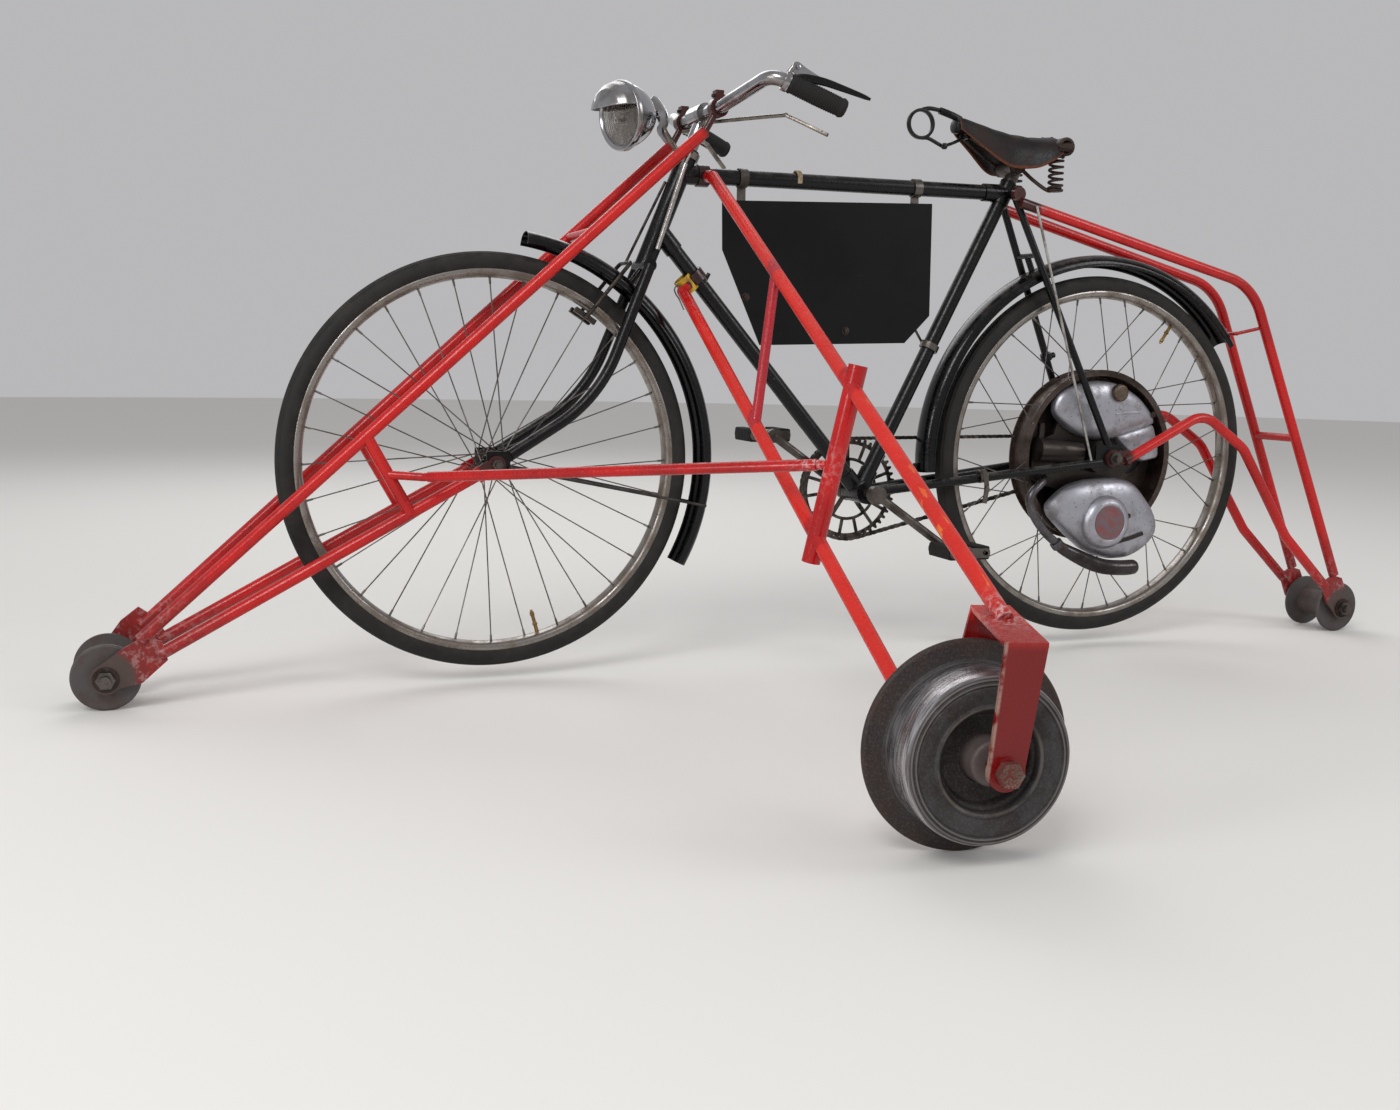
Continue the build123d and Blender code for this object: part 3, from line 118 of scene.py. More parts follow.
class Finish:
    """A material while its nodes are added: tint() changes its colour and dress() joins all to its shader."""

    def __init__(self, name):
        self.material = bpy.data.materials.new(name)
        self.material.use_nodes = True
        self.tree = self.material.node_tree
        self.place = self.node("ShaderNodeTexCoord", output="Object")

    def node(self, kind, settings=None, sockets=None, output=0):
        """Adds a node, sets it, then gives its sockets their values or links, and returns one output."""
        node = self.tree.nodes.new(kind)
        for setting, value in (settings or {}).items():
            setattr(node, setting, value)
        for key, value in (sockets or {}).items():
            if isinstance(value, Wire):
                self.tree.links.new(value.socket, node.inputs[key])
            else:
                node.inputs[key].default_value = value
        return Wire(self, node.outputs[output])

    def vector(self, operation, first, second, output="Vector"):
        """One step of vector arithmetic."""
        return self.node("ShaderNodeVectorMath", {"operation": operation}, {0: first, 1: second}, output)

    def cloud(self, scale, detail=4.0, roughness=0.55, stretch=(1.0, 1.0, 1.0)):
        """Soft noise of about 0.2 to 0.8 with so many waves in a metre."""
        place = self.vector("MULTIPLY", self.place, stretch)
        sockets = {"Vector": place, "Scale": scale, "Detail": detail, "Roughness": roughness}
        return self.node("ShaderNodeTexNoise", {}, sockets)

    def cells(self, scale, feature="F1", output="Distance"):
        """Distance to the cells' centres or, as DISTANCE_TO_EDGE, to the edges between them."""
        return self.node(
            "ShaderNodeTexVoronoi", {"feature": feature}, {"Vector": self.place, "Scale": scale}, output
        )

    def between(self, value, low, high):
        """0 at low and 1 at high with a smooth step between them; low may be the larger."""
        sockets = {0: value, 1: low, 2: high, 3: 0.0, 4: 1.0}
        return self.node("ShaderNodeMapRange", {"interpolation_type": "SMOOTHSTEP"}, sockets)

    def tinted(self, under, over, share):
        """One colour laid over another by a share; three numbers are a colour as it is seen on a screen."""
        under, over = (tone(*colour) if isinstance(colour, tuple) else colour for colour in (under, over))
        return self.node("ShaderNodeMix", {"data_type": "RGBA"}, {0: share, 6: under, 7: over}, 2)

    def tint(self, over, share):
        """Lays a colour over the finish's own colour."""
        self.colour = self.tinted(self.colour, over, share)

    def near(self, *spots):
        """Sum over spots (x, y, z, reach), in millimetres: 1 at the spot, falling to 0 at its reach."""
        shares = []
        for *spot, reach in spots:
            gap = self.vector("DISTANCE", self.place, tuple(np.array(spot) * MM), "Value")
            shares.append(self.between(gap, reach * MM, 0.0))
        return sum(shares[1:], shares[0])

    def radius(self, centre, axis):
        """Distance in metres from an axis through a point given in millimetres."""
        arm = self.vector("SUBTRACT", self.place, tuple(np.array(centre) * MM))
        cross = self.vector("CROSS_PRODUCT", arm, tuple(unit(axis)))
        return self.node("ShaderNodeVectorMath", {"operation": "LENGTH"}, {0: cross}, "Value")

    def axis(self, name):
        """One of the coordinates X, Y and Z in metres."""
        return self.node("ShaderNodeSeparateXYZ", {}, {0: self.place}, name)

    def facing_up(self):
        """How far the surface faces upwards, -1 to 1."""
        normal = self.node("ShaderNodeNewGeometry", {}, {}, "Normal")
        return self.node("ShaderNodeSeparateXYZ", {}, {0: normal}, "Z")

    def dress(self, roughness, metallic=0.0, height=None, depth=0.0004, strength=0.6, **fixed):
        """Joins the colour, roughness, metal and bump to the shader, and sets its plain values."""
        shader = self.tree.nodes["Principled BSDF"]
        sockets = {"Base Color": self.colour, "Roughness": roughness, "Metallic": metallic}
        if height is not None:
            bump = {"Height": height, "Strength": strength, "Distance": depth}
            sockets["Normal"] = self.node("ShaderNodeBump", {}, bump)
        for key, value in sockets.items():
            if isinstance(value, Wire):
                self.tree.links.new(value.socket, shader.inputs[key])
            else:
                shader.inputs[key].default_value = value
        for key, value in fixed.items():
            shader.inputs[key.replace("_", " ")].default_value = value
        return self.material


# ---- finishes


def brushed_paint(name, colour, deep, faded, chip, primer, chips, dust, gloss):
    """Hand-brushed gloss paint: uneven tone, brush marks, chips with a primer edge and dust on top."""
    f = Finish(name)
    broad = f.cloud(7.0, 3.0)
    fine = f.cloud(230.0, 3.0)
    marks = f.cloud(90.0, 4.0, 0.6, (1.0, 1.0, 0.2))
    f.colour = f.tinted(deep, colour, f.between(broad + 0.35 * (marks - 0.5), 0.34, 0.62))
    f.tint(faded, 0.3 * f.between(f.facing_up(), 0.1, 1.0) * f.between(f.cloud(22.0), 0.35, 0.7))
    worn = f.cloud(160.0, 5.0, 0.65) + 0.34 * (f.cloud(11.0, 3.0) - 0.5)
    edge = f.between(worn, chips - 0.035, chips)
    bare = f.between(worn, chips, chips + 0.02)
    f.tint(primer, edge)
    f.tint(chip, bare)
    dirt = dust * f.between(f.facing_up(), 0.25, 1.0) * f.between(f.cloud(45.0, 5.0), 0.38, 0.68)
    f.tint((150, 140, 132), dirt)
    rough = gloss + 0.22 * f.between(fine, 0.4, 0.7) + 0.3 * bare + 0.35 * dirt
    height = 0.6 * marks + 0.25 * fine - 0.9 * edge
    return f, rough, height


def red_paint():
    """Red gloss paint of the guide frames, rubbed through where hands and feet go."""
    f, rough, height = brushed_paint(
        "red_gloss_paint", (186, 18, 18), (160, 12, 14), (198, 34, 30), (70, 36, 31), (112, 18, 18), 0.72,
        0.08, 0.17
    )
    post = f.between(f.radius((360.0, -612.0, 395.0), (51.0, -28.0, 278.0)), 0.030, 0.024)
    tie = f.between(f.radius((110.3, -344.3, 367.4), (-0.6791, 0.7299, -0.078)), 0.018, 0.013)
    strut = f.between(f.radius((360.0, -353.0, 556.0), (39.0, 26.0, 235.0)), 0.016, 0.013)
    tubes = f.between(f.axis("Y"), -0.05, -0.15) * (1.0 - post) * (1.0 - tie) * (1.0 - strut)
    f.tint((160, 44, 56), 0.65 * strut)
    f.tint((222, 50, 34), 0.5 * tubes)
    scraped = f.near((372.0, -960.0, 330.0, 200.0)) + f.near((378.0, -740.0, 460.0, 200.0)) * 0.6
    streak = f.between(f.cloud(120.0, 4.0, 0.6, (1.0, 0.2, 0.2)), 0.59, 0.65)
    f.tint((226, 136, 52), 0.75 * scraped * streak * tubes)
    straps = f.between(f.axis("Y"), -0.93, -0.95) * f.between(f.axis("Z"), 0.262, 0.235)
    f.tint((104, 8, 10), 0.95 * straps)
    edge = f.radius((310.3, -1119.9, 101.0), (10.8, -6.7, 143.0))
    edge = f.between(edge, 0.0046, 0.0034) * f.between(f.axis("Z"), 0.262, 0.250) * f.between(
        f.cloud(60.0, 4.0), 0.34, 0.52
    )
    f.tint((156, 128, 116), 0.8 * edge)
    grimy = f.near((-600.0, 0.0, 40.0, 230.0), (1830.0, 0.0, 50.0, 190.0)) + 0.7 * f.near(
        (352.0, -1070.0, 240.0, 95.0)
    )
    blotch = f.between(f.cloud(38.0, 5.0, 0.65), 0.26, 0.48) * (1.0 - straps)
    pale = f.between(f.cloud(85.0, 5.0, 0.7), 0.50, 0.62) * (1.0 - straps)
    f.tint((74, 30, 27), 0.95 * grimy * blotch)
    f.tint((164, 128, 126), 0.7 * grimy * pale)
    knuckle = f.near(
        (300.0, -1044.0, 232.0, 60.0), (372.0, -1049.0, 262.0, 55.0), (345.0, -592.0, 395.0, 55.0),
        (1034.0, -62.0, 846.0, 34.0)
    )
    f.tint((206, 168, 168), 0.8 * knuckle * f.between(f.cloud(140.0, 5.0, 0.7), 0.48, 0.60))
    clamp = f.near(
        (374.0, -88.0, 958.0, 70.0), (374.0, 88.0, 958.0, 70.0), (1003.0, -62.0, 850.0, 66.0),
        (1225.0, -84.0, 355.5, 62.0), (0.0, -62.0, 355.5, 48.0)
    )
    f.tint((62, 28, 25), 1.0 * f.between(clamp, 0.05, 0.4))
    rings = f.between(f.near((379.0, 0.0, 855.6, 80.0)), 0.62, 0.72) + f.between(
        f.near((368.5, 0.0, 679.8, 80.0)), 0.60, 0.70
    )
    f.tint((26, 21, 21), 0.96 * rings)
    ends = f.near(*((x, y, z, 58.0) for x, y, z in ROLLER_PLACES))
    f.tint((70, 58, 54), 0.96 * f.between(ends, 0.02, 0.25))
    return f.dress(rough + 0.25 * grimy * blotch, 0.0, height, 0.0002, 0.12, Specular_IOR_Level=0.42)


def black_enamel(name, gloss, chips, dust):
    """Old black stove enamel with rusty chips and dust."""
    f, rough, height = brushed_paint(
        name, (8, 8, 10), (4, 4, 5), (19, 19, 20), (74, 64, 56), (38, 30, 27), chips, dust, gloss
    )
    return f.dress(rough, 0.0, height, 0.0002, 0.12, Specular_IOR_Level=0.3)


def plated(name, colour, dull, rust, rusted, gloss, satin):
    """Plating with a dull film, pits and rust coming through."""
    f = Finish(name)
    film = f.between(f.cloud(24.0, 4.0), 0.4, 0.66)
    pits = f.between(f.cloud(420.0, 3.0, 0.6) + 0.25 * (f.cloud(30.0) - 0.5), rusted, rusted + 0.05)
    patches = f.between(
        f.cloud(70.0, 6.0, 0.7) + 0.3 * (f.cloud(9.0, 2.0) - 0.5), rusted + 0.03, rusted + 0.12
    )
    brown = 1.0 - (1.0 - pits) * (1.0 - patches)
    f.colour = f.tinted(colour, dull, 0.75 * film)
    f.tint(rust, brown)
    rough = gloss + satin * film + (0.75 - gloss) * brown
    height = f.cloud(300.0, 2.0) * 0.4 - 0.8 * brown
    return f.dress(rough, 1.0 - 0.8 * brown, height, 0.0002, 0.12)


def dusty_rubber(name, colour, dust, amount, fine_scale=500.0):
    """Old rubber that is grey with dust in the hollows and on top."""
    f = Finish(name)
    grey = f.between(f.cloud(34.0, 5.0, 0.65), 0.36, 0.70)
    grain = f.cloud(fine_scale, 3.0)
    top = f.between(f.facing_up(), 0.0, 1.0)
    share = amount * grey * (0.45 + 0.55 * top) + 0.15 * grain
    cracks = f.between(f.cells(330.0, "DISTANCE_TO_EDGE"), 0.05, 0.0)
    f.colour = f.tinted(colour, dust, share)
    f.tint((14, 13, 13), 0.5 * cracks)
    return f.dress(0.62 + 0.25 * grey, 0.0, grain - 0.5 * cracks, 0.0003, 0.5, Specular_IOR_Level=0.3)


def cast_iron(name, colour, brown, rust_share):
    """Rough cast iron with brown bloom."""
    f = Finish(name)
    bloom = f.between(f.cloud(26.0, 5.0, 0.65), 0.42, 0.66)
    grain = f.cloud(420.0, 4.0, 0.7)
    f.colour = f.tinted(colour, brown, rust_share * bloom)
    f.tint((150, 140, 132), 0.28 * f.between(f.facing_up(), 0.4, 1.0) * f.between(grain, 0.4, 0.6))
    return f.dress(0.52 + 0.25 * bloom, 0.55 - 0.4 * bloom, grain + 0.5 * f.cloud(120.0), 0.0005, 0.6)


def outrigger_iron():
    """Iron of the outrigger wheel: rusty flange, tread polished by the rail and a dark ridged face."""
    f = Finish("outrigger_wheel_iron")
    middle = outrigger_point(0.0)
    out = f.radius(middle, TOE_AXIS)
    along = f.vector(
        "DOT_PRODUCT", f.vector("SUBTRACT", f.place, tuple(middle * MM)), tuple(TOE_AXIS), "Value"
    )
    grain = f.cloud(380.0, 4.0, 0.7)
    bloom = f.between(f.cloud(30.0, 5.0, 0.65), 0.40, 0.66)
    face = f.tinted((58, 56, 58), (48, 42, 40), bloom)
    flange = f.tinted((46, 39, 37), (62, 46, 40), bloom)
    tread_rings = f.cloud(60.0, 3.0, 0.6, (0.4, 6.0, 0.4))
    tread = f.tinted((182, 180, 184), (112, 106, 104), f.between(tread_rings, 0.36, 0.66))
    on_tread = f.between(out, 0.0955, 0.0985) * f.between(along, 0.032, 0.028)
    lip_highlight = f.between(out, 0.0600, 0.0610) * f.between(out, 0.0645, 0.0632) * f.between(along, -0.020, -0.028)
    recess_shade = f.between(out, 0.0600, 0.0585)
    on_flange = f.between(along, 0.032, 0.036)
    f.colour = f.tinted(face, tread, on_tread)
    f.tint(flange, on_flange)
    # painted shade: the deep recess of the face is darkened to near black
    f.tint((34, 28, 26), 0.85 * recess_shade)
    crest_highlight = f.between(out, 0.0925, 0.0933) * f.between(out, 0.0955, 0.0948) + f.between(
        out, 0.0880, 0.0886
    ) * f.between(out, 0.0905, 0.0899)
    # painted highlight: the crests of the two fine rings on the face are lightened
    f.tint((124, 118, 116), 0.6 * crest_highlight * f.between(along, -0.030, -0.0325))
    hub = f.between(out, 0.0285, 0.0270)
    f.tint((96, 84, 82), 0.8 * hub)
    # painted highlight: the rounded lip round the recess is lightened in patches
    f.tint((118, 110, 101), 0.5 * lip_highlight * f.between(f.cloud(24.0, 3.0), 0.34, 0.58))
    ring_dust = f.between(grain, 0.48, 0.64) * (1.0 - on_tread)
    f.tint((112, 104, 100), 0.22 * ring_dust)
    rough = 0.58 - 0.36 * on_tread + 0.18 * bloom
    metal = 0.35 + 0.55 * on_tread
    return f.dress(rough, metal, grain + 0.5 * f.cloud(140.0), 0.0004, 0.5)


def cast_silver(name, colour, stain, oily):
    """Sand-cast light alloy, dull, with oil and dust settled on it."""
    f = Finish(name)
    grain = f.cloud(520.0, 4.0, 0.7)
    soil = f.between(f.cloud(17.0, 6.0, 0.65) + 0.15 * (grain - 0.5), 0.44, 0.66)
    specks = f.between(f.cloud(210.0, 3.0), 0.62, 0.70)
    f.colour = f.tinted(colour, stain, oily * soil)
    f.tint((62, 54, 48), 0.6 * specks)
    return f.dress(0.29 + 0.3 * soil + 0.1 * grain, 0.85 - 0.5 * soil * oily, grain, 0.0003, 0.45)


def oily_chain():
    """Chain steel under old black oil."""
    f = Finish("oily_chain_steel")
    oil = f.between(f.cloud(80.0, 4.0), 0.38, 0.62)
    f.colour = f.tinted((92, 84, 78), (26, 23, 22), oil)
    return f.dress(0.34 + 0.3 * oil, 0.9 - 0.4 * oil, f.cloud(500.0), 0.0002, 0.4)


def saddle_leather():
    """Dark saddle leather, cracked and pebbled, worn to orange-brown along its edges."""
    f = Finish("worn_saddle_leather")
    edge = f.node("ShaderNodeAttribute", {"attribute_name": "edge_wear"}, {}, "Fac")
    pebble = f.cells(520.0)
    crack = f.between(f.cells(95.0, "DISTANCE_TO_EDGE") + 0.12 * f.cloud(160.0), 0.09, 0.05)
    broad = f.between(f.cloud(20.0, 4.0), 0.38, 0.64)
    f.colour = f.tinted((17, 13, 12), (38, 25, 21), broad)
    rubbed = f.between(edge + 0.35 * (f.cloud(65.0, 4.0) - 0.5), 0.45, 0.80)
    f.tint((108, 58, 33), 0.75 * rubbed)
    f.tint((20, 14, 13), 0.6 * crack)
    dirt = 0.25 * f.between(f.facing_up(), 0.6, 1.0) * f.between(f.cloud(60.0), 0.48, 0.68)
    f.tint((92, 80, 72), dirt)
    height = 0.5 * pebble + 0.3 * f.cloud(140.0) - 0.8 * crack
    return f.dress(0.42 + 0.2 * broad + 0.2 * rubbed, 0.0, height, 0.0004, 0.6, Specular_IOR_Level=0.3)


def blank_sign():
    """Black enamelled plate, dusty and scratched, with nothing written on it."""
    f = Finish("blank_sign_enamel")
    haze = f.between(f.cloud(6.0, 5.0, 0.6), 0.36, 0.68)
    scratch = f.between(f.cloud(130.0, 5.0, 0.7, (0.25, 1.0, 1.6)), 0.66, 0.72)
    f.colour = f.tinted((5, 6, 7), (13, 13, 15), 0.7 * haze)
    f.tint((60, 57, 54), 0.4 * scratch)
    rough = 0.38 + 0.3 * haze + 0.2 * scratch
    return f.dress(rough, 0.0, f.cloud(300.0) - scratch, 0.0001, 0.3, Specular_IOR_Level=0.18)


def lamp_glass():
    """Moulded lamp glass with a film of dust."""
    f = Finish("lamp_lens_glass")
    film = f.between(f.cloud(60.0, 4.0), 0.55, 0.8)
    f.colour = f.tinted((226, 220, 214), (176, 164, 152), film)
    return f.dress(0.04 + 0.15 * film, 0.0, f.cloud(30.0), 0.0002, 0.1, Transmission_Weight=0.96, IOR=1.45)


def brake_metal():
    """Dark, dull metal of the front brake, with its push rod bright."""
    f = Finish("front_brake_metal")
    rod = f.between(f.radius((315.4, -24.0, 797.9), (-50.0, 0.0, -148.0)), 0.0068, 0.0058)
    soil = f.between(f.cloud(60.0, 5.0, 0.65), 0.40, 0.64)
    dark = f.tinted((70, 62, 57), (34, 29, 27), soil)
    bright = f.tinted((190, 187, 184), (120, 112, 104), 0.6 * soil)
    f.colour = f.tinted(dark, bright, rod)
    return f.dress(0.42 - 0.18 * rod + 0.2 * soil, 0.7 + 0.3 * rod, f.cloud(300.0), 0.0002, 0.1)


def strap_metal():
    """Bare steel of the long stays, bright behind the frame and dark in front of it."""
    f = Finish("bare_strap_steel")
    film = f.between(f.cloud(40.0, 4.0), 0.38, 0.66)
    bright = f.tinted((178, 176, 172), (122, 116, 110), film)
    dark = f.tinted((62, 58, 56), (38, 34, 32), film)
    front = f.between(f.axis("X"), 0.62, 0.58)
    f.colour = f.tinted(bright, dark, front)
    return f.dress(0.34 + 0.2 * film, 0.85 - 0.35 * front, f.cloud(300.0), 0.0002, 0.1)


def plain_paint(name, colour, other, rough):
    """A dull coating of two close tones."""
    f = Finish(name)
    share = f.between(f.cloud(70.0, 5.0), 0.38, 0.64)
    f.colour = f.tinted(colour, other, share)
    return f.dress(rough + 0.15 * share, 0.0, f.cloud(420.0), 0.0002, 0.4)


# ---- surfaces


def placed(name, data):
    """Puts a new object into the scene."""
    made = bpy.data.objects.new(name, data)
    bpy.context.scene.collection.objects.link(made)
    return made


def unit(vector):
    """The vector, or each row of vectors, at length 1."""
    vector = np.asarray(vector, float)
    return vector / np.linalg.norm(vector, axis=-1, keepdims=True)


class Shell:
    """Grids of points, in millimetres from an origin, that are joined into one mesh of quads with closed ends."""

    def __init__(self, origin=(0.0, 0.0, 0.0)):
        self.origin = origin
        self.points = []
        self.faces = []
        self.count = 0

    def add(self, grid, around_rows=False, around_columns=True, caps=True):
        """Adds a grid: neighbours (i, j), (i, j+1), (i+1, j+1) and (i+1, j) make a face."""
        rows, columns = grid.shape[:2]
        i = np.arange(rows if around_rows else rows - 1)[:, None]
        j = np.arange(columns if around_columns else columns - 1)[None, :]
        next_i = (i + 1) % rows
        next_j = (j + 1) % columns
        corners = (i * columns + j, i * columns + next_j, next_i * columns + next_j, next_i * columns + j)
        quads = np.stack(corners, -1).reshape(-1, 4) + self.count
        self.faces += quads.tolist()
        if caps and around_columns and not around_rows:
            first = np.arange(columns) + self.count
            self.faces += [first[::-1].tolist(), (first + (rows - 1) * columns).tolist()]
        self.points.append(grid.reshape(-1, 3) + self.origin)
        self.count += rows * columns
        return self

    def turn(self, centre, axis, outline, steps):
        """Adds an outline turned about an axis, closed at both ends."""
        return self.add(turned(centre, axis, outline, steps))

    def ring(self, centre, axis, outline, steps):
        """Adds a closed outline turned about an axis."""
        return self.add(turned(centre, axis, outline, steps).transpose(1, 0, 2), around_rows=True)

    def sweep(self, path, section, reference, scale=None):
        """Adds a section carried along a path, closed at both ends."""
        return self.add(carried(path, section, reference, scale))

    def plate(self, outline, levels):
        """Adds a flat plate: its outline in X and Z, and its two faces at levels of Y."""
        x, z = np.asarray(outline, float).T
        y = np.array(levels)[:, None] + 0 * x
        return self.add(np.stack([x + 0 * y, y, z + 0 * y], -1))

    def bolt(self, spot, axis, across_flats, height, washer=0.0):
        """Adds a hexagon head with a worn rounded top and the washer behind it."""
        axis = unit(axis)
        spot = np.asarray(spot, float)
        path = spot + height * np.array((0.0, 0.82, 0.95, 1.0))[:, None] * axis
        hexagon = circle(across_flats / 2 / np.cos(np.pi / 6), 6)
        self.sweep(path, hexagon, UP if abs(axis[2]) < 0.9 else ACROSS, np.array((1.0, 1.0, 0.94, 0.84)))
        if washer:
            r = washer / 2
            self.turn(spot, axis, [(0.2, r * 0.4), (0.2, r - 0.5), (-0.3, r), (-1.6, r), (-1.6, r * 0.4)], 32)
        return self

    def piece(self, name, finish, slot=None, *replaced, body="carriage", smooth=38.0):
        """Makes the mesh object, turns its faces outwards, ties it to its body and hides the nodes it replaces; its
        slot is not used.
        """
        mesh = bpy.data.meshes.new(name)
        mesh.from_pydata((np.concatenate(self.points) * MM).tolist(), [], self.faces)
        work = bmesh.new()
        work.from_mesh(mesh)
        bmesh.ops.recalc_face_normals(work, faces=work.faces)
        work.to_mesh(mesh)
        work.free()
        mesh.shade_smooth()
        mesh.set_sharp_from_angle(angle=radians(smooth))
        mesh.materials.append(finish)
        made = placed(name, mesh)
        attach(made, body)
        if replaced:
            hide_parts(*replaced)
        return made


def thicken(made, name, thickness, offset):
    """Gives an open surface its thickness in metres."""
    modifier = made.modifiers.new(name, "SOLIDIFY")
    modifier.thickness = thickness
    modifier.offset = offset


def softened(outline, radius, steps=4, closed=True):
    """Each corner c becomes the curve (1-t)^2 a + 2t(1-t) c + t^2 b, with a and b a radius away on both sides."""
    outline = np.asarray(outline, float)
    before = np.roll(outline, 1, 0) - outline
    after = np.roll(outline, -1, 0) - outline
    reach = [
        np.minimum(radius, 0.45 * np.linalg.norm(side, axis=1, keepdims=True)) for side in (before, after)
    ]
    a = outline + unit(before) * reach[0]
    b = outline + unit(after) * reach[1]
    t = np.linspace(0.0, 1.0, steps)[None, :, None]
    curve = (1 - t) ** 2 * a[:, None] + 2 * t * (1 - t) * outline[:, None] + t**2 * b[:, None]
    if not closed:
        curve[0] = outline[0]
        curve[-1] = outline[-1]
        return np.concatenate([outline[:1], curve[1:-1].reshape(-1, 2), outline[-1:]])
    return curve.reshape(-1, 2)


def bar(half_width, half_height, radius, steps=3):
    """Section of a flat bar with rounded corners."""
    w, h = half_width, half_height
    return softened([(-w, -h), (w, -h), (w, h), (-w, h)], radius, steps)


def sleeve(low, high, inner, outer, radius):
    """Outline of a tube's wall with rounded corners, as (distance, radius) pairs."""
    return softened([(low, inner), (low, outer), (high, outer), (high, inner)], radius, 3)


def turned(centre, axis, outline, steps):
    """An outline of (distance, radius) turned about an axis: point = centre + d axis + r (cos a u + sin a v)."""
    axis = unit(axis)
    u = unit(np.cross(axis, UP if abs(axis[2]) < 0.9 else ACROSS))
    v = np.cross(axis, u)
    angle = np.linspace(0.0, 2 * np.pi, steps, endpoint=False)[None, :, None]
    outline = np.asarray(outline, float)
    distance = outline[:, 0, None, None]
    radius = outline[:, 1, None, None]
    return np.asarray(centre, float) + distance * axis + radius * (np.cos(angle) * u + np.sin(angle) * v)


def spun(centre, radius, angle, y=0.0):
    """Points round a line across the bike: x = centre + r cos a and z = centre + r sin a, at y."""
    x = centre[0] + radius * np.cos(angle)
    z = centre[2] + radius * np.sin(angle)
    return np.stack(np.broadcast_arrays(x, y, z), -1)


def circle(radius, sides):
    """Points of a circle as (side, up) pairs."""
    angle = np.linspace(0.0, 2 * np.pi, sides, endpoint=False)
    return np.stack([np.cos(angle), np.sin(angle)], 1) * radius


def carried(path, section, reference, scale=None):
    """A section carried along a path: point = path + s side + t up, with side square to the path and a reference."""
    path = np.asarray(path, float)
    heading = unit(np.gradient(path, axis=0))
    side = unit(np.cross(heading, reference))
    up = np.cross(side, heading)
    if scale is None:
        scale = np.ones(len(path))
    section = section[None] * scale[:, None, None]
    return path[:, None] + section[..., 0, None] * side[:, None] + section[..., 1, None] * up[:, None]


def smooth_path(points, steps):
    """A curve through points: a cubic between each pair whose slopes come from the points beside them."""
    points = np.asarray(points, float)
    ends = np.concatenate([2 * points[:1] - points[1:2], points, 2 * points[-1:] - points[-2:-1]])
    t = np.linspace(0.0, 1.0, steps, endpoint=False)[None, :, None]
    p0, p1, p2, p3 = (ends[k : k + len(points) - 1, None] for k in range(4))
    curve = 0.5 * (
        2 * p1 + (p2 - p0) * t + (2 * p0 - 5 * p1 + 4 * p2 - p3) * t**2 + (3 * p1 - p0 - 3 * p2 + p3) * t**3
    )
    return np.concatenate([curve.reshape(-1, 3), points[-1:]])


def cushion(outline, back_y, depth, fullness, rows=26):
    """A cast cushion on an (x, z) outline: each ring is the outline drawn in to a share cos(t)^(2/n) of itself and
    lifted by depth sin(t)^(2/n), with n the fullness."""
    outline = np.asarray(outline, float)
    middle = outline.mean(0)
    t = np.linspace(0.0, np.pi / 2 * 0.995, rows)[:, None]
    share = np.cos(t) ** (2 / fullness)
    lift = np.sin(t) ** (2 / fullness)
    x = middle[0] + (outline[:, 0] - middle[0]) * share
    z = middle[1] + (outline[:, 1] - middle[1]) * share
    return np.stack([x, back_y - depth * lift + 0 * x, z], -1)


# ---- wheels of the bicycle


def tyre(name, centre, body):
    """A round tyre: r = ring + s cos a, y = s sin a, with s the section's radius less the grooves of the tread."""
    rows = 432
    tread = np.linspace(-0.95, 0.95, 43)
    wall = np.linspace(0.95, 2 * np.pi - 0.95, 21)[1:-1]
    a = np.concatenate([tread, wall])[None, :]
    turn = np.linspace(0.0, 2 * np.pi, rows, endpoint=False)[:, None]
    zigzag = 0.055 * (np.abs((turn * 54 / np.pi) % 2 - 1) - 0.5)
    groove = np.clip(np.cos((a + zigzag) * 2 * np.pi / 0.38) * 1.6 - 0.7, 0.0, 1.0) * (np.abs(a) < 0.86)
    bead = np.exp(-(((np.abs(a) - 1.62) / 0.07) ** 2)) * 0.35
    section = TYRE_R - 1.1 * groove - 0.25 + bead * (a < np.pi)
    inside = np.abs(a - np.pi) < 0.75
    section = np.where(inside, 12.4, section)
    ring = TYRE_MIDDLE_R + section * np.cos(a)
    shell = Shell().add(spun(centre, ring, turn, section * np.sin(a)), around_rows=True)
    return shell.piece(name, TYRE_RUBBER, "tyre", name.replace("_cover", "_tyre"), body=body)


def rim(name, centre, body, spoke_ends, valve_angle):
    """A rolled rim turned about the axle, with a nipple for each spoke and the tyre's valve."""
    outline = [
        (-16.2, 326.0), (-16.6, 321.0), (-15.4, 317.0), (-11.0, 313.6), (-5.0, 312.0), (0.0, 311.4),
        (5.0, 312.0), (11.0, 313.6), (15.4, 317.0), (16.6, 321.0), (16.2, 326.0), (14.4, 327.4),
        (12.8, 325.5), (8.0, 316.0), (0.0, 314.0), (-8.0, 316.0), (-12.8, 325.5), (-14.4, 327.4),
    ]
    shell = Shell().ring(centre, ACROSS, softened(outline, 2.0, 3), 216)
    made = shell.piece(name, RIM_STEEL, "rim_steel", name.replace("_hoop", "_rim"), body=body)
    nipples = Shell()
    for end, start in spoke_ends:
        axis = unit(start - end)
        base = end - axis * 3.0
        nipples.turn(base, axis, [(0.0, 3.0), (1.6, 3.0), (2.2, 2.1), (12.0, 1.9), (13.5, 1.3)], 8)
    nipples.piece(name + "_nipples", SPOKE_STEEL, "rim_steel", body=body)
    radial = np.array((np.cos(valve_angle), 0.0, np.sin(valve_angle)))
    stem = [
        (0.0, 3.4), (14.0, 3.4), (14.6, 4.6), (18.0, 4.6), (18.6, 3.2), (31.0, 3.2), (31.6, 4.0), (38.0, 4.0),
        (38.6, 2.4), (42.0, 2.2)
    ]
    valve = Shell().turn(centre + radial * 313.0, -radial, softened(stem, 0.5, 3, False), 20)
    valve.piece(name + "_valve", BRASS, "rim_steel", body=body)
    return made


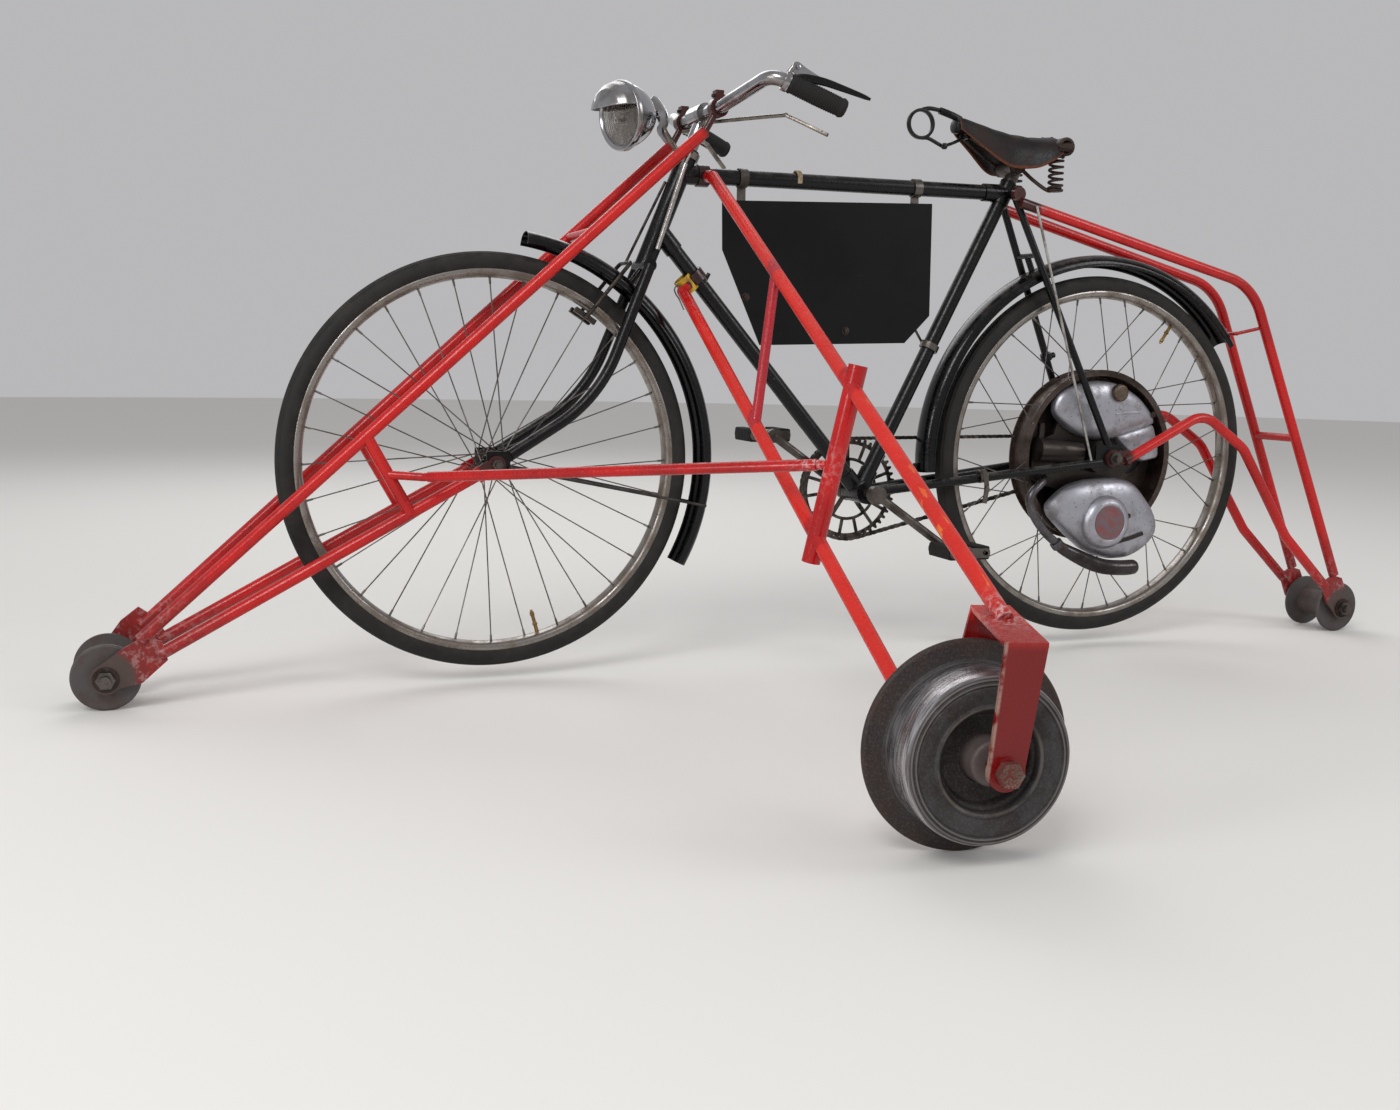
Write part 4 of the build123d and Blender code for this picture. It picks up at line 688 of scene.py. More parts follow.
def spoke_lines(centre, count, rows, hub_r, lean):
    """Starts at the hub flanges and ends at the rim of crossed spokes, two rows, every other one leaning back."""
    number = np.arange(count // 2)
    lines = []
    for row, flange_y in enumerate(rows):
        turn = np.where(number % 2, 1.0, -1.0)
        rim_angle = np.radians((2 * number + row) * 360.0 / count)
        hub_angle = rim_angle + turn * np.radians(lean)
        side = turn * 3.3
        start = spun(centre, hub_r, hub_angle, flange_y + side)
        end = spun(centre, RIM_INNER_R - 0.7, rim_angle, np.sign(flange_y) * 3 + side * 0.5)
        lines += [(rim_end, hub_end, flange_y) for rim_end, hub_end in zip(end, start)]
    return lines


def spokes(name, lines, body):
    """Straight round spokes whose bent heads pass through the hub flange."""
    shell = Shell()
    for end, start, flange_y in lines:
        axis = unit(end - start)
        inwards = np.array((0.0, np.sign(flange_y - start[1]), 0.0))
        path = smooth_path([start + inwards * 5.0, start + inwards * 1.5 - axis * 0.4, start + axis * 2.5], 3)
        path = np.concatenate([path, [end]])
        shell.sweep(path, circle(1.15, 6), np.array((0.31, 0.2, 0.92)))
        shell.turn(start + inwards * 5.6, -inwards, [(-0.6, 1.2), (0.0, 2.2), (0.9, 2.2), (1.4, 1.2)], 8)
    return shell.piece(name, SPOKE_STEEL, "rim_steel", name.replace("_wires", "_spokes"), body=body)


def chain_links(name):
    """Roller chain laid link by link along its loop; a link's plate has an outline pinched between its two pins."""
    front_r = CHAIN_PITCH / 2 / np.sin(np.pi / CHAINRING_TEETH)
    back_r = CHAIN_PITCH / 2 / np.sin(np.pi / SPROCKET_TEETH)
    run = REAR_CENTRE - CRANK_CENTRE
    length = np.hypot(run[0], run[2])
    tangent = np.arccos((front_r - back_r) / length)
    slope = np.arctan2(run[2], run[0])
    up, down = slope + tangent, slope - tangent
    arcs = []
    for centre, radius, first, last in (
        (CRANK_CENTRE, front_r, down, up - 2 * np.pi), (REAR_CENTRE, back_r, up, down)
    ):
        arcs.append(spun(centre, radius, np.linspace(first, last, 400))[:, ::2])
    loop = np.concatenate([arcs[0], arcs[1], arcs[0][:1]])
    far = np.concatenate([[0.0], np.cumsum(np.linalg.norm(np.diff(loop, axis=0), axis=1))])
    count = int(round(far[-1] / CHAIN_PITCH / 2)) * 2
    at = np.linspace(0.0, far[-1], count + 1)
    pins = np.stack([np.interp(at, far, loop[:, 0]), np.interp(at, far, loop[:, 1])], 1)
    t = np.linspace(0.0, 2 * np.pi, 20, endpoint=False)
    half = np.linalg.norm(pins[1] - pins[0]) / 2
    plate = np.stack([np.cos(t) * (half + 4.1), np.sin(t) * (2.6 + 2.2 * np.abs(np.cos(t)) ** 0.8)], 1)
    shell = Shell()
    for number in range(count):
        a, b = pins[number], pins[number + 1]
        heading = unit(b - a)
        outer = number % 2
        outline = (a + b) / 2 + plate[:, :1] * heading + plate[:, 1:] * np.array((-heading[1], heading[0]))
        for side in SIDES:
            near = CHAIN_Y + side * (2.3 + 1.25 * outer)
            shell.plate(outline, (near, near + side * 1.15))
        if not outer:
            for pin in (a, b):
                spot = (pin[0], CHAIN_Y, pin[1])
                shell.turn(spot, ACROSS, [(-5.4, 1.8), (-5.0, 2.0), (5.0, 2.0), (5.4, 1.8)], 8)
    return shell.piece(name, CHAIN_STEEL, "chain_steel", "chain")


# ---- saddle

SADDLE_ROWS = np.array(
    [
        (884.0, 17.0, 990.0, 22.0), (896.0, 22.0, 990.5, 32.0), (930.0, 27.0, 983.0, 50.0),
        (975.0, 41.0, 972.0, 70.0), (1015.0, 67.0, 964.5, 66.0), (1040.0, 88.0, 962.0, 52.0),
        (1058.0, 97.0, 962.0, 38.0)
    ]
)


def saddle_top():
    """Leather hung from nose to back: y = half sin(a), z = top - skirt (1 - cos a)^1.3, with a across it.
    The half width, top and skirt follow a smooth curve along it, and its middle sags a little more."""
    rows, columns = 61, 57
    spine = smooth_path(SADDLE_ROWS[:, [0, 1, 2]], 40)
    skirts = smooth_path(SADDLE_ROWS[:, [0, 3, 3]], 40)
    pick = np.linspace(0, len(spine) - 1, rows).round().astype(int)
    x, half, top = spine[pick].T
    skirt = skirts[pick, 1]
    a = np.linspace(-1.0, 1.0, columns)[None, :] * np.pi / 2
    along = np.linspace(0.0, 1.0, rows)[:, None]
    y = half[:, None] * np.sign(np.sin(a)) * np.abs(np.sin(a)) ** 0.92
    fall = (1 - np.cos(a)) ** 1.35
    creases = 0.9 * np.sin(along * 46 + 3 * np.sin(a * 2)) * np.exp(
        -((along - 0.62) / 0.2) ** 2
    ) * np.cos(a) ** 2
    z = top[:, None] - skirt[:, None] * fall - 2.5 * np.sin(along * np.pi) * np.cos(a) ** 2 + creases
    flare = 5.0 * fall * np.sin(along * np.pi) ** 2
    z_edge = np.abs(a) / (np.pi / 2)
    grid = np.stack([x[:, None] + 0 * a, y + np.sign(a) * flare, z], -1)
    shell = Shell().add(grid, around_columns=False, caps=False)
    made = shell.piece("saddle_cover", LEATHER, "saddle_leather", "saddle")
    wear = np.maximum(z_edge**14 + 0 * along, np.exp(-along / 0.05))
    wear = np.maximum(wear, np.exp((along - 1) / 0.05) * 0.9)
    attribute = made.data.attributes.new("edge_wear", "FLOAT", "POINT")
    attribute.data.foreach_set("value", wear.reshape(-1).astype(np.float32))
    thicken(made, "leather_thickness", 0.0042, -1.0)
    fine = made.modifiers.new("rounding", "SUBSURF")
    fine.levels = fine.render_levels = 1
    return made


def coil(centre, radius, wire, low, high, turns):
    """A spring: the wire follows x = r cos t, y = r sin t, with z rising evenly but for its flat end turns."""
    t = np.linspace(0.0, 1.0, int(turns * 22))
    rise = np.clip((t - 0.5 / turns) / (1 - 1.0 / turns), 0.0, 1.0)
    angle = 2 * np.pi * turns * t
    path = np.stack(
        [centre[0] + radius * np.cos(angle), centre[1] + radius * np.sin(angle), low + (high - low) * rise], 1
    )
    return carried(path, circle(wire / 2, 10), UP)


def saddle_frame():
    """Rails, a pair of coil springs, the rolled back plate and the loop in front of the nose."""
    shell = Shell()
    for side in SIDES:
        bottom, top = 862.0, 925.0
        shell.add(coil((SPRING_X, side * SPRING_Y), 12.5, 5.0, bottom + 3.0, top - 4.0, 6.0))
        rail = [
            (1060, 70, 862), (1048, 62, 861), (1028, 44, 880), (1003, 31, 904), (960, 24, 926),
            (920, 15, 948), (898, 9, 962)
        ]
        rail = [(x, side * y, z) for x, y, z in rail]
        shell.sweep(smooth_path(rail, 8), circle(3.6, 10), UP)
        shell.turn((1003, side * 24.3, 905), (0, side, 0), sleeve(0, 12, 4, 13, 1.0), 32)
        shell.bolt((1003, side * 36.3, 905), (0, side, 0), 13.0, 7.0)
        shell.turn(
            (SPRING_X, side * SPRING_Y, 858), UP, softened([(0, 2), (0, 14.5), (4, 15.5), (5, 2)], 0.8, 3), 28
        )
        shell.turn(
            (SPRING_X, side * SPRING_Y, 921), UP, softened([(0, 2), (0, 15), (4, 15), (5, 2)], 0.8, 3), 28
        )
        strap = [(SPRING_X, side * SPRING_Y, 924), (1066, side * 74, 934), (1069, side * 80, 944)]
        shell.sweep(smooth_path(strap, 6), bar(7, 2, 1.2), ACROSS)
    cantle = [
        (1058, -104, 930), (1066, -90, 942), (1069, -50, 952), (1070, 0, 955), (1069, 50, 952),
        (1066, 90, 942), (1058, 104, 930)
    ]
    shell.sweep(smooth_path(cantle, 10), bar(3, 13, 2.0), (1.0, 0.0, 0.2))
    loop = Shell()
    loop.ring(
        (809.0, 0.0, 974.0), ACROSS,
        softened([(-4, 22), (4, 22), (5, 25), (4, 28), (-4, 28), (-5, 25)], 1.5, 3), 56
    )
    loop.sweep(
        smooth_path([(812, 0, 1000), (828, 0, 1003), (856, 0, 999), (890, 0, 988)], 8), circle(4.0, 12),
        ACROSS
    )
    loop.sweep([(848, 0, 1000.5), (862, 0, 997), (876, 0, 993), (892, 0, 987)], circle(6.6, 16), ACROSS)
    loop.sweep(
        smooth_path([(812, 0, 949), (826, 0, 949), (848, 0, 940), (858, 0, 936)], 8), circle(3.5, 12), ACROSS
    )
    loop.sweep(smooth_path([(856, 0, 936), (878, 0, 944), (902, 0, 955)], 6), circle(3.0, 10), ACROSS)
    loop.bolt((856, -5, 936), (0, -1, 0), 11.0, 6.0)
    loop.turn((902, -16, 955), ACROSS, [(0, 4), (32, 4)], 16)
    loop.piece("saddle_nose_loop", SADDLE_STEEL, "rusty_steel")
    for side in SIDES:
        roll = sleeve(0, 36, 11, 17, 1.6)
        shell.ring((1066, side * 58.0, 937.9), (0, side, 0), roll, 40)
    made = shell.piece("saddle_springs", RUSTY_STEEL, "rusty_steel", "saddle_frame")
    rivets = Shell()
    for y in (-78, -46, -16, 16, 46, 78):
        z = 962 - 24 * (abs(y) / 97.0) ** 2.6
        rivets.turn((1060, y, z - 4), (0.86, 0.0, 0.5), [(4.2, 5.2), (5.6, 5.0), (6.9, 3.6), (7.5, 1.2)], 18)
    plug = turned(
        (883, 0, 976), (-1.0, 0.0, 0.12),
        softened([(-5, 3), (-5, 15), (3, 15), (5, 12.5), (5.6, 3)], 1.2, 3, False), 36
    )
    Shell().add(plug).piece("saddle_nose_plug", FRAME_BLACK, "black_enamel")
    rivets.piece("saddle_rivets", BRASS, "rusty_steel")
    return made


# ---- lamp and grips

LAMP_CENTRE = np.array((224.0, -6.0, 946.0))
LAMP_AXIS = unit(np.array((-0.93, -0.32, -0.12)))


def headlamp():
    """A bullet lamp turned about its axis: shell, bezel, dished mirror, bulb and a ribbed lens."""
    body = [
        (-8, 20.0), (-8, 56.0), (-14, 54.6), (-24, 52.0), (-36, 46.6), (-48, 38.8), (-58, 29.8), (-66, 18.6),
        (-70, 8.0), (-71, 3.0)
    ]
    shell = Shell().turn(LAMP_CENTRE, LAMP_AXIS, body, 96)
    shell.piece("headlamp_shell", CHROME, "chrome", "headlamp")
    bezel = [
        (-1.5, 49.0), (-0.5, 51.5), (1.6, 54.5), (0.6, 57.6), (-2.6, 58.9), (-8.0, 58.9), (-11.0, 57.6),
        (-12.0, 55.0), (-9.0, 53.5), (-3.0, 50.0)
    ]
    ring = Shell().ring(LAMP_CENTRE, LAMP_AXIS, softened(bezel, 1.0, 3), 96)
    ring.piece("headlamp_bezel", CHROME, "chrome")
    r = np.linspace(6.0, 49.5, 20)
    dish = np.concatenate(
        [np.stack([-30 + 22 * (r / 50) ** 2, r], 1), np.stack([-31 + 22 * (r[::-1] / 50) ** 2, r[::-1]], 1)]
    )
    mirror = Shell().ring(LAMP_CENTRE, LAMP_AXIS, dish, 64)
    mirror.piece("headlamp_mirror", MIRROR_PAINTED_REFLECTION, "chrome")
    bulb = [(-30, 6.2), (-16, 6.2), (-14, 8.5), (-9, 10.5), (-4, 10.0), (-0.5, 6.8), (0.8, 2.0)]
    Shell().turn(LAMP_CENTRE, LAMP_AXIS, bulb, 32).piece("headlamp_bulb", LAMP_GLASS, "lens_glass")
    face = np.linspace(0.0, 1.0, 26)
    front = np.stack([-1.0 + 11.0 * (1 - face**2), np.maximum(face * 49.6, 0.4)], 1)
    back = np.stack([-3.0 + 10.4 * (1 - face[::-1] ** 2), np.maximum(face[::-1] * 49.6, 0.4)], 1)
    glass = turned(LAMP_CENTRE, LAMP_AXIS, np.concatenate([front, back]), 128)
    flute = 0.45 * np.cos((glass @ unit(np.cross(LAMP_AXIS, UP))) * 2 * np.pi / 7.0)
    glass[: len(front)] += flute[: len(front), :, None] * LAMP_AXIS * (1 - face**6)[:, None, None]
    Shell().add(glass).piece("headlamp_lens", LAMP_GLASS, "lens_glass", "lamp_lens")


def grips():
    """Moulded grips: a radius with fine rings, a thumb flange at the inner end and a round outer end."""
    shell = Shell()
    for side in SIDES:
        end = np.array((524.0, side * 264.0, 941.0))
        bend = np.array((407.0, side * 241.0, 989.0))
        axis = unit(bend - end)
        t = np.linspace(0.0, 98.0, 118)
        ribs = 0.7 * (np.cos(t * 2 * np.pi / 4.2) > 0.1) * (t > 10) * (t < 88)
        r = 14.2 + ribs + 1.6 * np.exp(-((t - 4) / 3.0) ** 2) + 1.7 * np.exp(
            -((t - 94) / 2.4) ** 2
        ) + 0.8 * np.sin(t / 98 * np.pi)
        outline = np.concatenate(
            [[(-4.0, 5.0), (-3.6, 10.0), (-2.2, 13.2)], np.stack([t, r], 1), [(98.6, 13.0), (98.6, 12.2)]]
        )
        shell.turn(end, axis, outline, 40)
    return shell.piece("moulded_grips", GRIP_RUBBER, "black_grip", "grips")


def lamp_hood():
    """The lid over the lens: at each height its edge runs from side to side, and it stands out by its radius."""
    side = unit(np.cross(LAMP_AXIS, UP))
    above = np.cross(side, LAMP_AXIS)
    height = np.linspace(14.0, 55.8, 22)[:, None]
    half = np.sqrt(56.0**2 - height**2)
    across = np.sin(np.linspace(-1.0, 1.0, 41)[None, :] * np.pi / 2) * half
    radius = np.sqrt(height**2 + across**2)
    out = np.interp(radius, [0.0, 11.0, 28.0, 43.0, 53.0, 56.0], [39.5, 39.0, 36.0, 28.0, 15.0, 1.0])
    grid = LAMP_CENTRE + across[..., None] * side + height[..., None] * above + out[..., None] * LAMP_AXIS
    made = Shell().add(grid, around_columns=False, caps=False).piece(
        "headlamp_hood", CHROME, "chrome", smooth=60.0
    )
    thicken(made, "sheet_thickness", 0.0012, 0.0)
    strap = [(285, 4, 981), (297, 4, 972), (307, 4, 957), (309, 4, 942), (304, 4, 928), (318, 4, 912)]
    shell = Shell().sweep(smooth_path(strap, 8), bar(8, 1.6, 1.2), ACROSS)
    shell.bolt((300, 4, 957), (-0.93, -0.32, -0.12), 11.0, 6.0)
    shell.piece("lamp_strap", CHROME, "chrome")


def levers():
    """Clutch lever with its perch and plate, and the two brake lever rods under the handlebar."""
    rods = Shell(BAR_CENTRE)
    for side in SIDES:
        run = np.array(
            [(-3, 16.8, -22), (-8, 56, -20.5), (0, 68, -20), (76, 177, -20), (86, 190, -23), (136, 235, -55)]
        ) * (1, side, 1)
        rods.sweep(smooth_path(run, 8), bar(4.2, 3, 2.6), UP)
        rods.turn((-3, side * 22, -22), (0, side, 0), [(0, 3), (0, 6), (9, 6.5), (10, 5)], 20)
    rods.piece("brake_lever_rods", LEVER_METAL, "chrome", "hand_levers")
    perch = Shell()
    axis = unit(np.array((117.0, -23.0, -48.0)))
    ring = sleeve(-5, 5, 12.2, 16, 1.0)
    perch.ring((430.0, -245.5, 979.0), axis, ring, 36)
    perch.sweep([(433, -247, 992), (436, -248, 997), (440, -249, 1002)], circle(4.5, 12), ACROSS)
    plate = np.array([(440, 1009), (448, 1011), (462, 1002), (500, 984), (496, 979), (446, 989), (438, 996)])
    plate = softened(plate, 3.0, 3)
    perch.plate(plate, (-251.0, -249.0))
    perch.bolt((448.0, -251.0, 1002.0), (0, -1, 0), 7.0, 3.0)
    perch.piece("clutch_perch", CHROME, "chrome")
    blade = smooth_path(
        [
            (443, -247, 983), (462, -252, 985), (490, -259, 981), (520, -266, 972), (548, -272, 963),
            (566, -275, 957)
        ],
        8
    )
    taper = np.interp(
        np.linspace(0.0, 1.0, len(blade)), [0.0, 0.12, 0.5, 0.9, 1.0], [1.0, 1.1, 0.82, 0.5, 0.32]
    )
    Shell().sweep(blade, bar(4.5, 7, 3.5, 4), UP, taper).piece("clutch_blade", FRAME_BLACK, "chrome")


# ---- motor in the rear wheel

TANK = [
    (-108, 101), (-103, 120), (-86, 134), (-62, 141.5), (-34, 148), (2, 151), (38, 145), (68, 132.5),
    (91, 119), (114, 98), (130, 77), (133, 65), (104, 54), (68, 44), (32, 35), (0, 33), (-26, 36), (-52, 43),
    (-76, 57), (-97, 74), (-107, 88)
]
COVER = [
    (-129, -95), (-120, -83), (-99, -65), (-78, -53), (-47, -45), (0, -41), (40, -42), (68, -49), (85, -62),
    (102, -81), (123, -106), (135, -132), (135, -154), (121, -174), (96, -192), (66, -204), (22, -205),
    (-15, -195), (-46, -180), (-80, -153), (-108, -128), (-124, -112)
]


def motor():
    """Tank and gear cover as smooth castings, with filler cap, boss, blank red disc, seams, pipe and silencer."""
    tank = Shell(REAR_CENTRE).add(cushion(softened(TANK, 14.0, 4), -7.0, 29.0, 3.4))
    seam = [(26, -36.2, 85), (54, -36.4, 88), (84, -35.0, 88)]
    tank.sweep(smooth_path(seam, 5), bar(2, 1, 0.8), ACROSS)
    side = softened([(36, 42), (128, 66), (143, 22), (145, -4), (104, -12), (66, 14)], 9.0, 4)
    tank.add(cushion(side, -5.5, 22.0, 5.0, 12))
    tank.piece("tank_casting", SILVER, "motor_silver", "motor_tank")
    cap = Shell(REAR_CENTRE)
    spot = (32, -30, 127)
    turn = np.linspace(0.0, 2 * np.pi, 60, endpoint=False)
    rim_path = turned(
        spot, (0, -1, 0), softened([(0, 14), (0, 17), (11, 17), (13.5, 15), (14.5, 9)], 1.5, 4, False), 60
    )
    knurl = 0.5 * np.cos(turn * 20)[None, :, None]
    cap.add(
        rim_path + knurl * unit(rim_path - spot + 1e-6) * (np.arange(len(rim_path)) > 2)[:, None, None] * 0.6
    )
    cap.piece("filler_cap", CAP_METAL, "motor_silver")

    cover = Shell(REAR_CENTRE).add(cushion(softened(COVER, 12.0, 3), -30.0, 33.0, 2.9, 34))
    boss = [(-14, 46), (-2, 54), (5, 52.5), (12, 47), (16, 41), (17, 36.5), (16.4, 34.8), (14.6, 34.2)]
    cover.turn((-4, -61, -127), (0, -1, 0), softened(boss, 2.0, 4, False), 96)
    cover.piece("cover_casting", SILVER, "motor_silver", "motor_cover")
    disc = [(0.0, 20), (0.0, 33.6), (0.9, 33.4), (1.1, 26), (0.7, 24), (1.1, 22), (1.4, 9)]
    Shell(REAR_CENTRE).turn((-4, -75.4, -127), (0, -1, 0), disc, 72).piece(
        "blank_disc", FADED_RED, "motor_silver"
    )
    # painted shade: dark discs and a slot laid on the castings stand for the shade in their holes
    hole_shade = Shell(REAR_CENTRE)
    hole_shade.turn((50, -62.0, -116), (0, -1, 0), [(0, 5.2), (1.2, 5.2), (1.3, 2)], 24)
    slot = [(14, -61.9, -171), (30, -62.3, -167), (60, -62.6, -160), (88, -61.6, -152)]
    hole_shade.sweep(smooth_path(slot, 5), bar(4, 0.8, 0.7), ACROSS)
    hole_shade.turn((122, -27.0, 84), (0, -1, 0), [(0, 6.0), (1.6, 6.0), (1.8, 2)], 24)
    hole_shade.piece("cover_hollows_painted_shade", DARK_CASTING, "motor_silver")

    pipe = smooth_path(
        [
            (-128, -6, -40), (-130, -26, -41), (-142, -42, -47), (-166, -48, -66), (-172, -49, -86),
            (-160, -51, -116), (-136, -54, -146), (-108, -56, -170)
        ],
        8
    )
    burner = smooth_path(
        [
            (-112, -56, -167), (-98, -56, -177), (-78, -57, -187), (-56, -57, -197), (-30, -57, -208),
            (4, -57, -217.5), (44, -57, -221), (77, -57, -220)
        ],
        8
    )
    share = np.linspace(0.0, 1.0, len(burner))
    swell = np.interp(
        share, [0.0, 0.12, 0.35, 0.6, 0.95, 0.985, 1.0], [0.60, 0.74, 0.92, 1.0, 1.0, 0.95, 0.80]
    )
    work = Shell(REAR_CENTRE).sweep(pipe, circle(8.5, 20), ACROSS)
    work.turn((-110, -56, -169), (0.66, -0.04, -0.75), sleeve(-7, 7, 8, 12.5, 2.0), 32)
    Shell(REAR_CENTRE).sweep(burner, circle(15.3, 32), ACROSS, swell).piece(
        "silencer_body", SILENCER_METAL, "motor_dark"
    )
    work.piece("pipe_and_silencer", PIPE_METAL, "motor_dark", "exhaust")


def drum_plate():
    """Thin ring that closes the holes in the drum's far wall; its near black is painted shade for the inside of the
    drum.
    """
    plate = [(30.4, 27), (30.4, 152), (31.6, 152), (31.6, 27)]
    shell = Shell().ring(REAR_CENTRE, ACROSS, plate, 96)
    shell.piece("drum_shade_plate", SHADE_BLACK, "motor_dark", body="rear_wheel")


# ---- mudguards, chain ring and pedals


def mudguard(name, centre_x, start, turn):
    """A deep blade round the wheel: y = half cos t, r = edge + rise (sin t)^0.7, with its edges rolled."""
    angle = np.radians(np.linspace(start, start - turn, 140))[:, None]
    t = np.linspace(0.0, np.pi, 33)
    lift = np.abs(np.sin(t)) ** 0.7
    y = np.concatenate([GUARD_HALF * np.cos(t), (GUARD_HALF - GUARD_SHEET) * np.cos(t[::-1])])
    r = GUARD_EDGE_R + np.concatenate([GUARD_RISE * lift, (GUARD_RISE - GUARD_SHEET) * lift[::-1]])
    centre = (centre_x, 0.0, WHEEL_R)
    shell = Shell().add(spun(centre, r, angle, y))
    for side in SIDES:
        edge = spun(centre, GUARD_EDGE_R + 0.7, angle[:, 0], side * (GUARD_HALF - 0.6))
        shell.sweep(edge, circle(2.0, 8), ACROSS)
    return shell.piece(name, GUARD_BLACK, "black_enamel", name.replace("_blade", "_mudguard"))


def chainring():
    """Toothed ring, r = 93 + 7 times a clipped cosine of 48 turns, on 15 struts, an inner ring and 5 spokes."""
    first_root = -1.339
    angle = np.linspace(0.0, 2 * np.pi, CHAINRING_TEETH * 14, endpoint=False)[None, :]
    wave = np.cos(CHAINRING_TEETH * (angle - first_root) + np.pi)
    tooth = 93.0 + 7.0 * np.clip(0.42 + 0.9 * wave, 0.0, 1.0)
    inner = 86.0 + 0 * angle
    r = np.concatenate([inner, tooth, tooth, inner])
    y = CHAIN_Y + np.array([-1.5, -1.5, 1.5, 1.5])[:, None]
    shell = Shell().add(spun(CRANK_CENTRE, r, angle, y), around_rows=True)
    for ring in (
        [(45.7, 54.5), (45.7, 60.5), (48.3, 60.5), (48.3, 54.5)],
        [(41, 8.6), (41, 20), (46, 22), (50, 22), (66, 20), (66, 8.6)]
    ):
        shell.ring(CRANK_CENTRE, ACROSS, softened(ring, 0.8, 3), 72)
    for count, low, high, half in ((15, 59.0, 88.0, 3.2), (5, 19.0, 57.0, 4.5)):
        for turn in np.radians(np.arange(count) * 360.0 / count + 20.0):
            radial = np.array((np.cos(turn), 0.0, np.sin(turn)))
            ends = [CRANK_CENTRE + ACROSS * CHAIN_Y + radial * reach for reach in (low, high)]
            shell.sweep(ends, bar(half, 1.3, 0.6), ACROSS)
    return shell.piece("chain_wheel", CHAIN_STEEL, "chain_steel", "chainring", body="crankset")


def pedal(name, side, x, z):
    """Two ribbed rubber blocks between two end plates, with a barrel round the spindle."""
    centre = (x, side * PEDAL_Y, z)
    cage = Shell(centre).ring((0, 0, 0), ACROSS, sleeve(-36, 36, 7, 11, 1.5), 32)
    for edge in SIDES:
        cage.sweep([(0, edge * 38.0, 0), (0, edge * 42.0, 0)], bar(41, 9, 8.0, 6), UP)
        for block_x in (-31.0, 31.0):
            cage.bolt((block_x, side * 42.0, 0), (0, side, 0), 8.0, 3.0)
    cage.piece(name + "_cage", HUB_STEEL, "dull_steel", name, body=name)
    blocks = Shell(centre)
    along = np.linspace(-37.5, 37.5, 76)
    ribs = 1.0 - 0.07 * (np.cos(along * 2 * np.pi / 7.5) < -0.35)
    for block_x in (-31.0, 31.0):
        path = np.stack([block_x + 0 * along, along, 0 * along], 1)
        blocks.sweep(path, bar(11, 12.5, 4.5, 5), UP, ribs)
    blocks.piece(name + "_blocks", GRIP_RUBBER, "black_grip", body=name)


# ---- outrigger wheel

TOE_AXIS = np.array((np.sin(radians(7.0)), np.cos(radians(7.0)), 0.0))
OUTRIGGER_CENTRE = np.array((340.0, -1054.0, 101.0))


def outrigger_point(distance):
    """Point of the outrigger wheel's axle at a distance in millimetres from the middle of its tread."""
    return OUTRIGGER_CENTRE + TOE_AXIS * distance


def outrigger_wheel():
    """Cast wheel turned about its axle: flange, tapered tread, ridged face, deep recess and hub."""
    outline = [
        (46, 9.1), (46, 124), (43, 127), (38, 127), (35.5, 124), (34, 103.5), (31, 101), (-18, 100),
        (-27, 98.6), (-31.5, 95.8), (-33.4, 93.6), (-32.2, 92.6), (-32.2, 91.6), (-33.8, 90.6), (-34, 88.2),
        (-32.6, 87.2), (-32.6, 86.2), (-34, 85.2), (-33.2, 74.0), (-30.5, 66.5), (-31.8, 65.2), (-32.4, 63.0),
        (-31.4, 60.6), (-27.0, 59.0), (-22, 57.8), (-21, 55.0), (-18.0, 53.0), (-9, 51.5), (-8, 48.0),
        (-8, 30.0), (-10, 27.6), (-36, 26.6), (-39, 25.2), (-40, 22.0), (-40, 9.1),
    ]
    shell = Shell().ring(outrigger_point(0.0), TOE_AXIS, softened(outline, 1.3, 3), 160)
    return shell.piece(
        "outrigger_casting", OUTRIGGER_IRON, "cast_wheel", "outrigger_wheel", body="outrigger_wheel"
    )


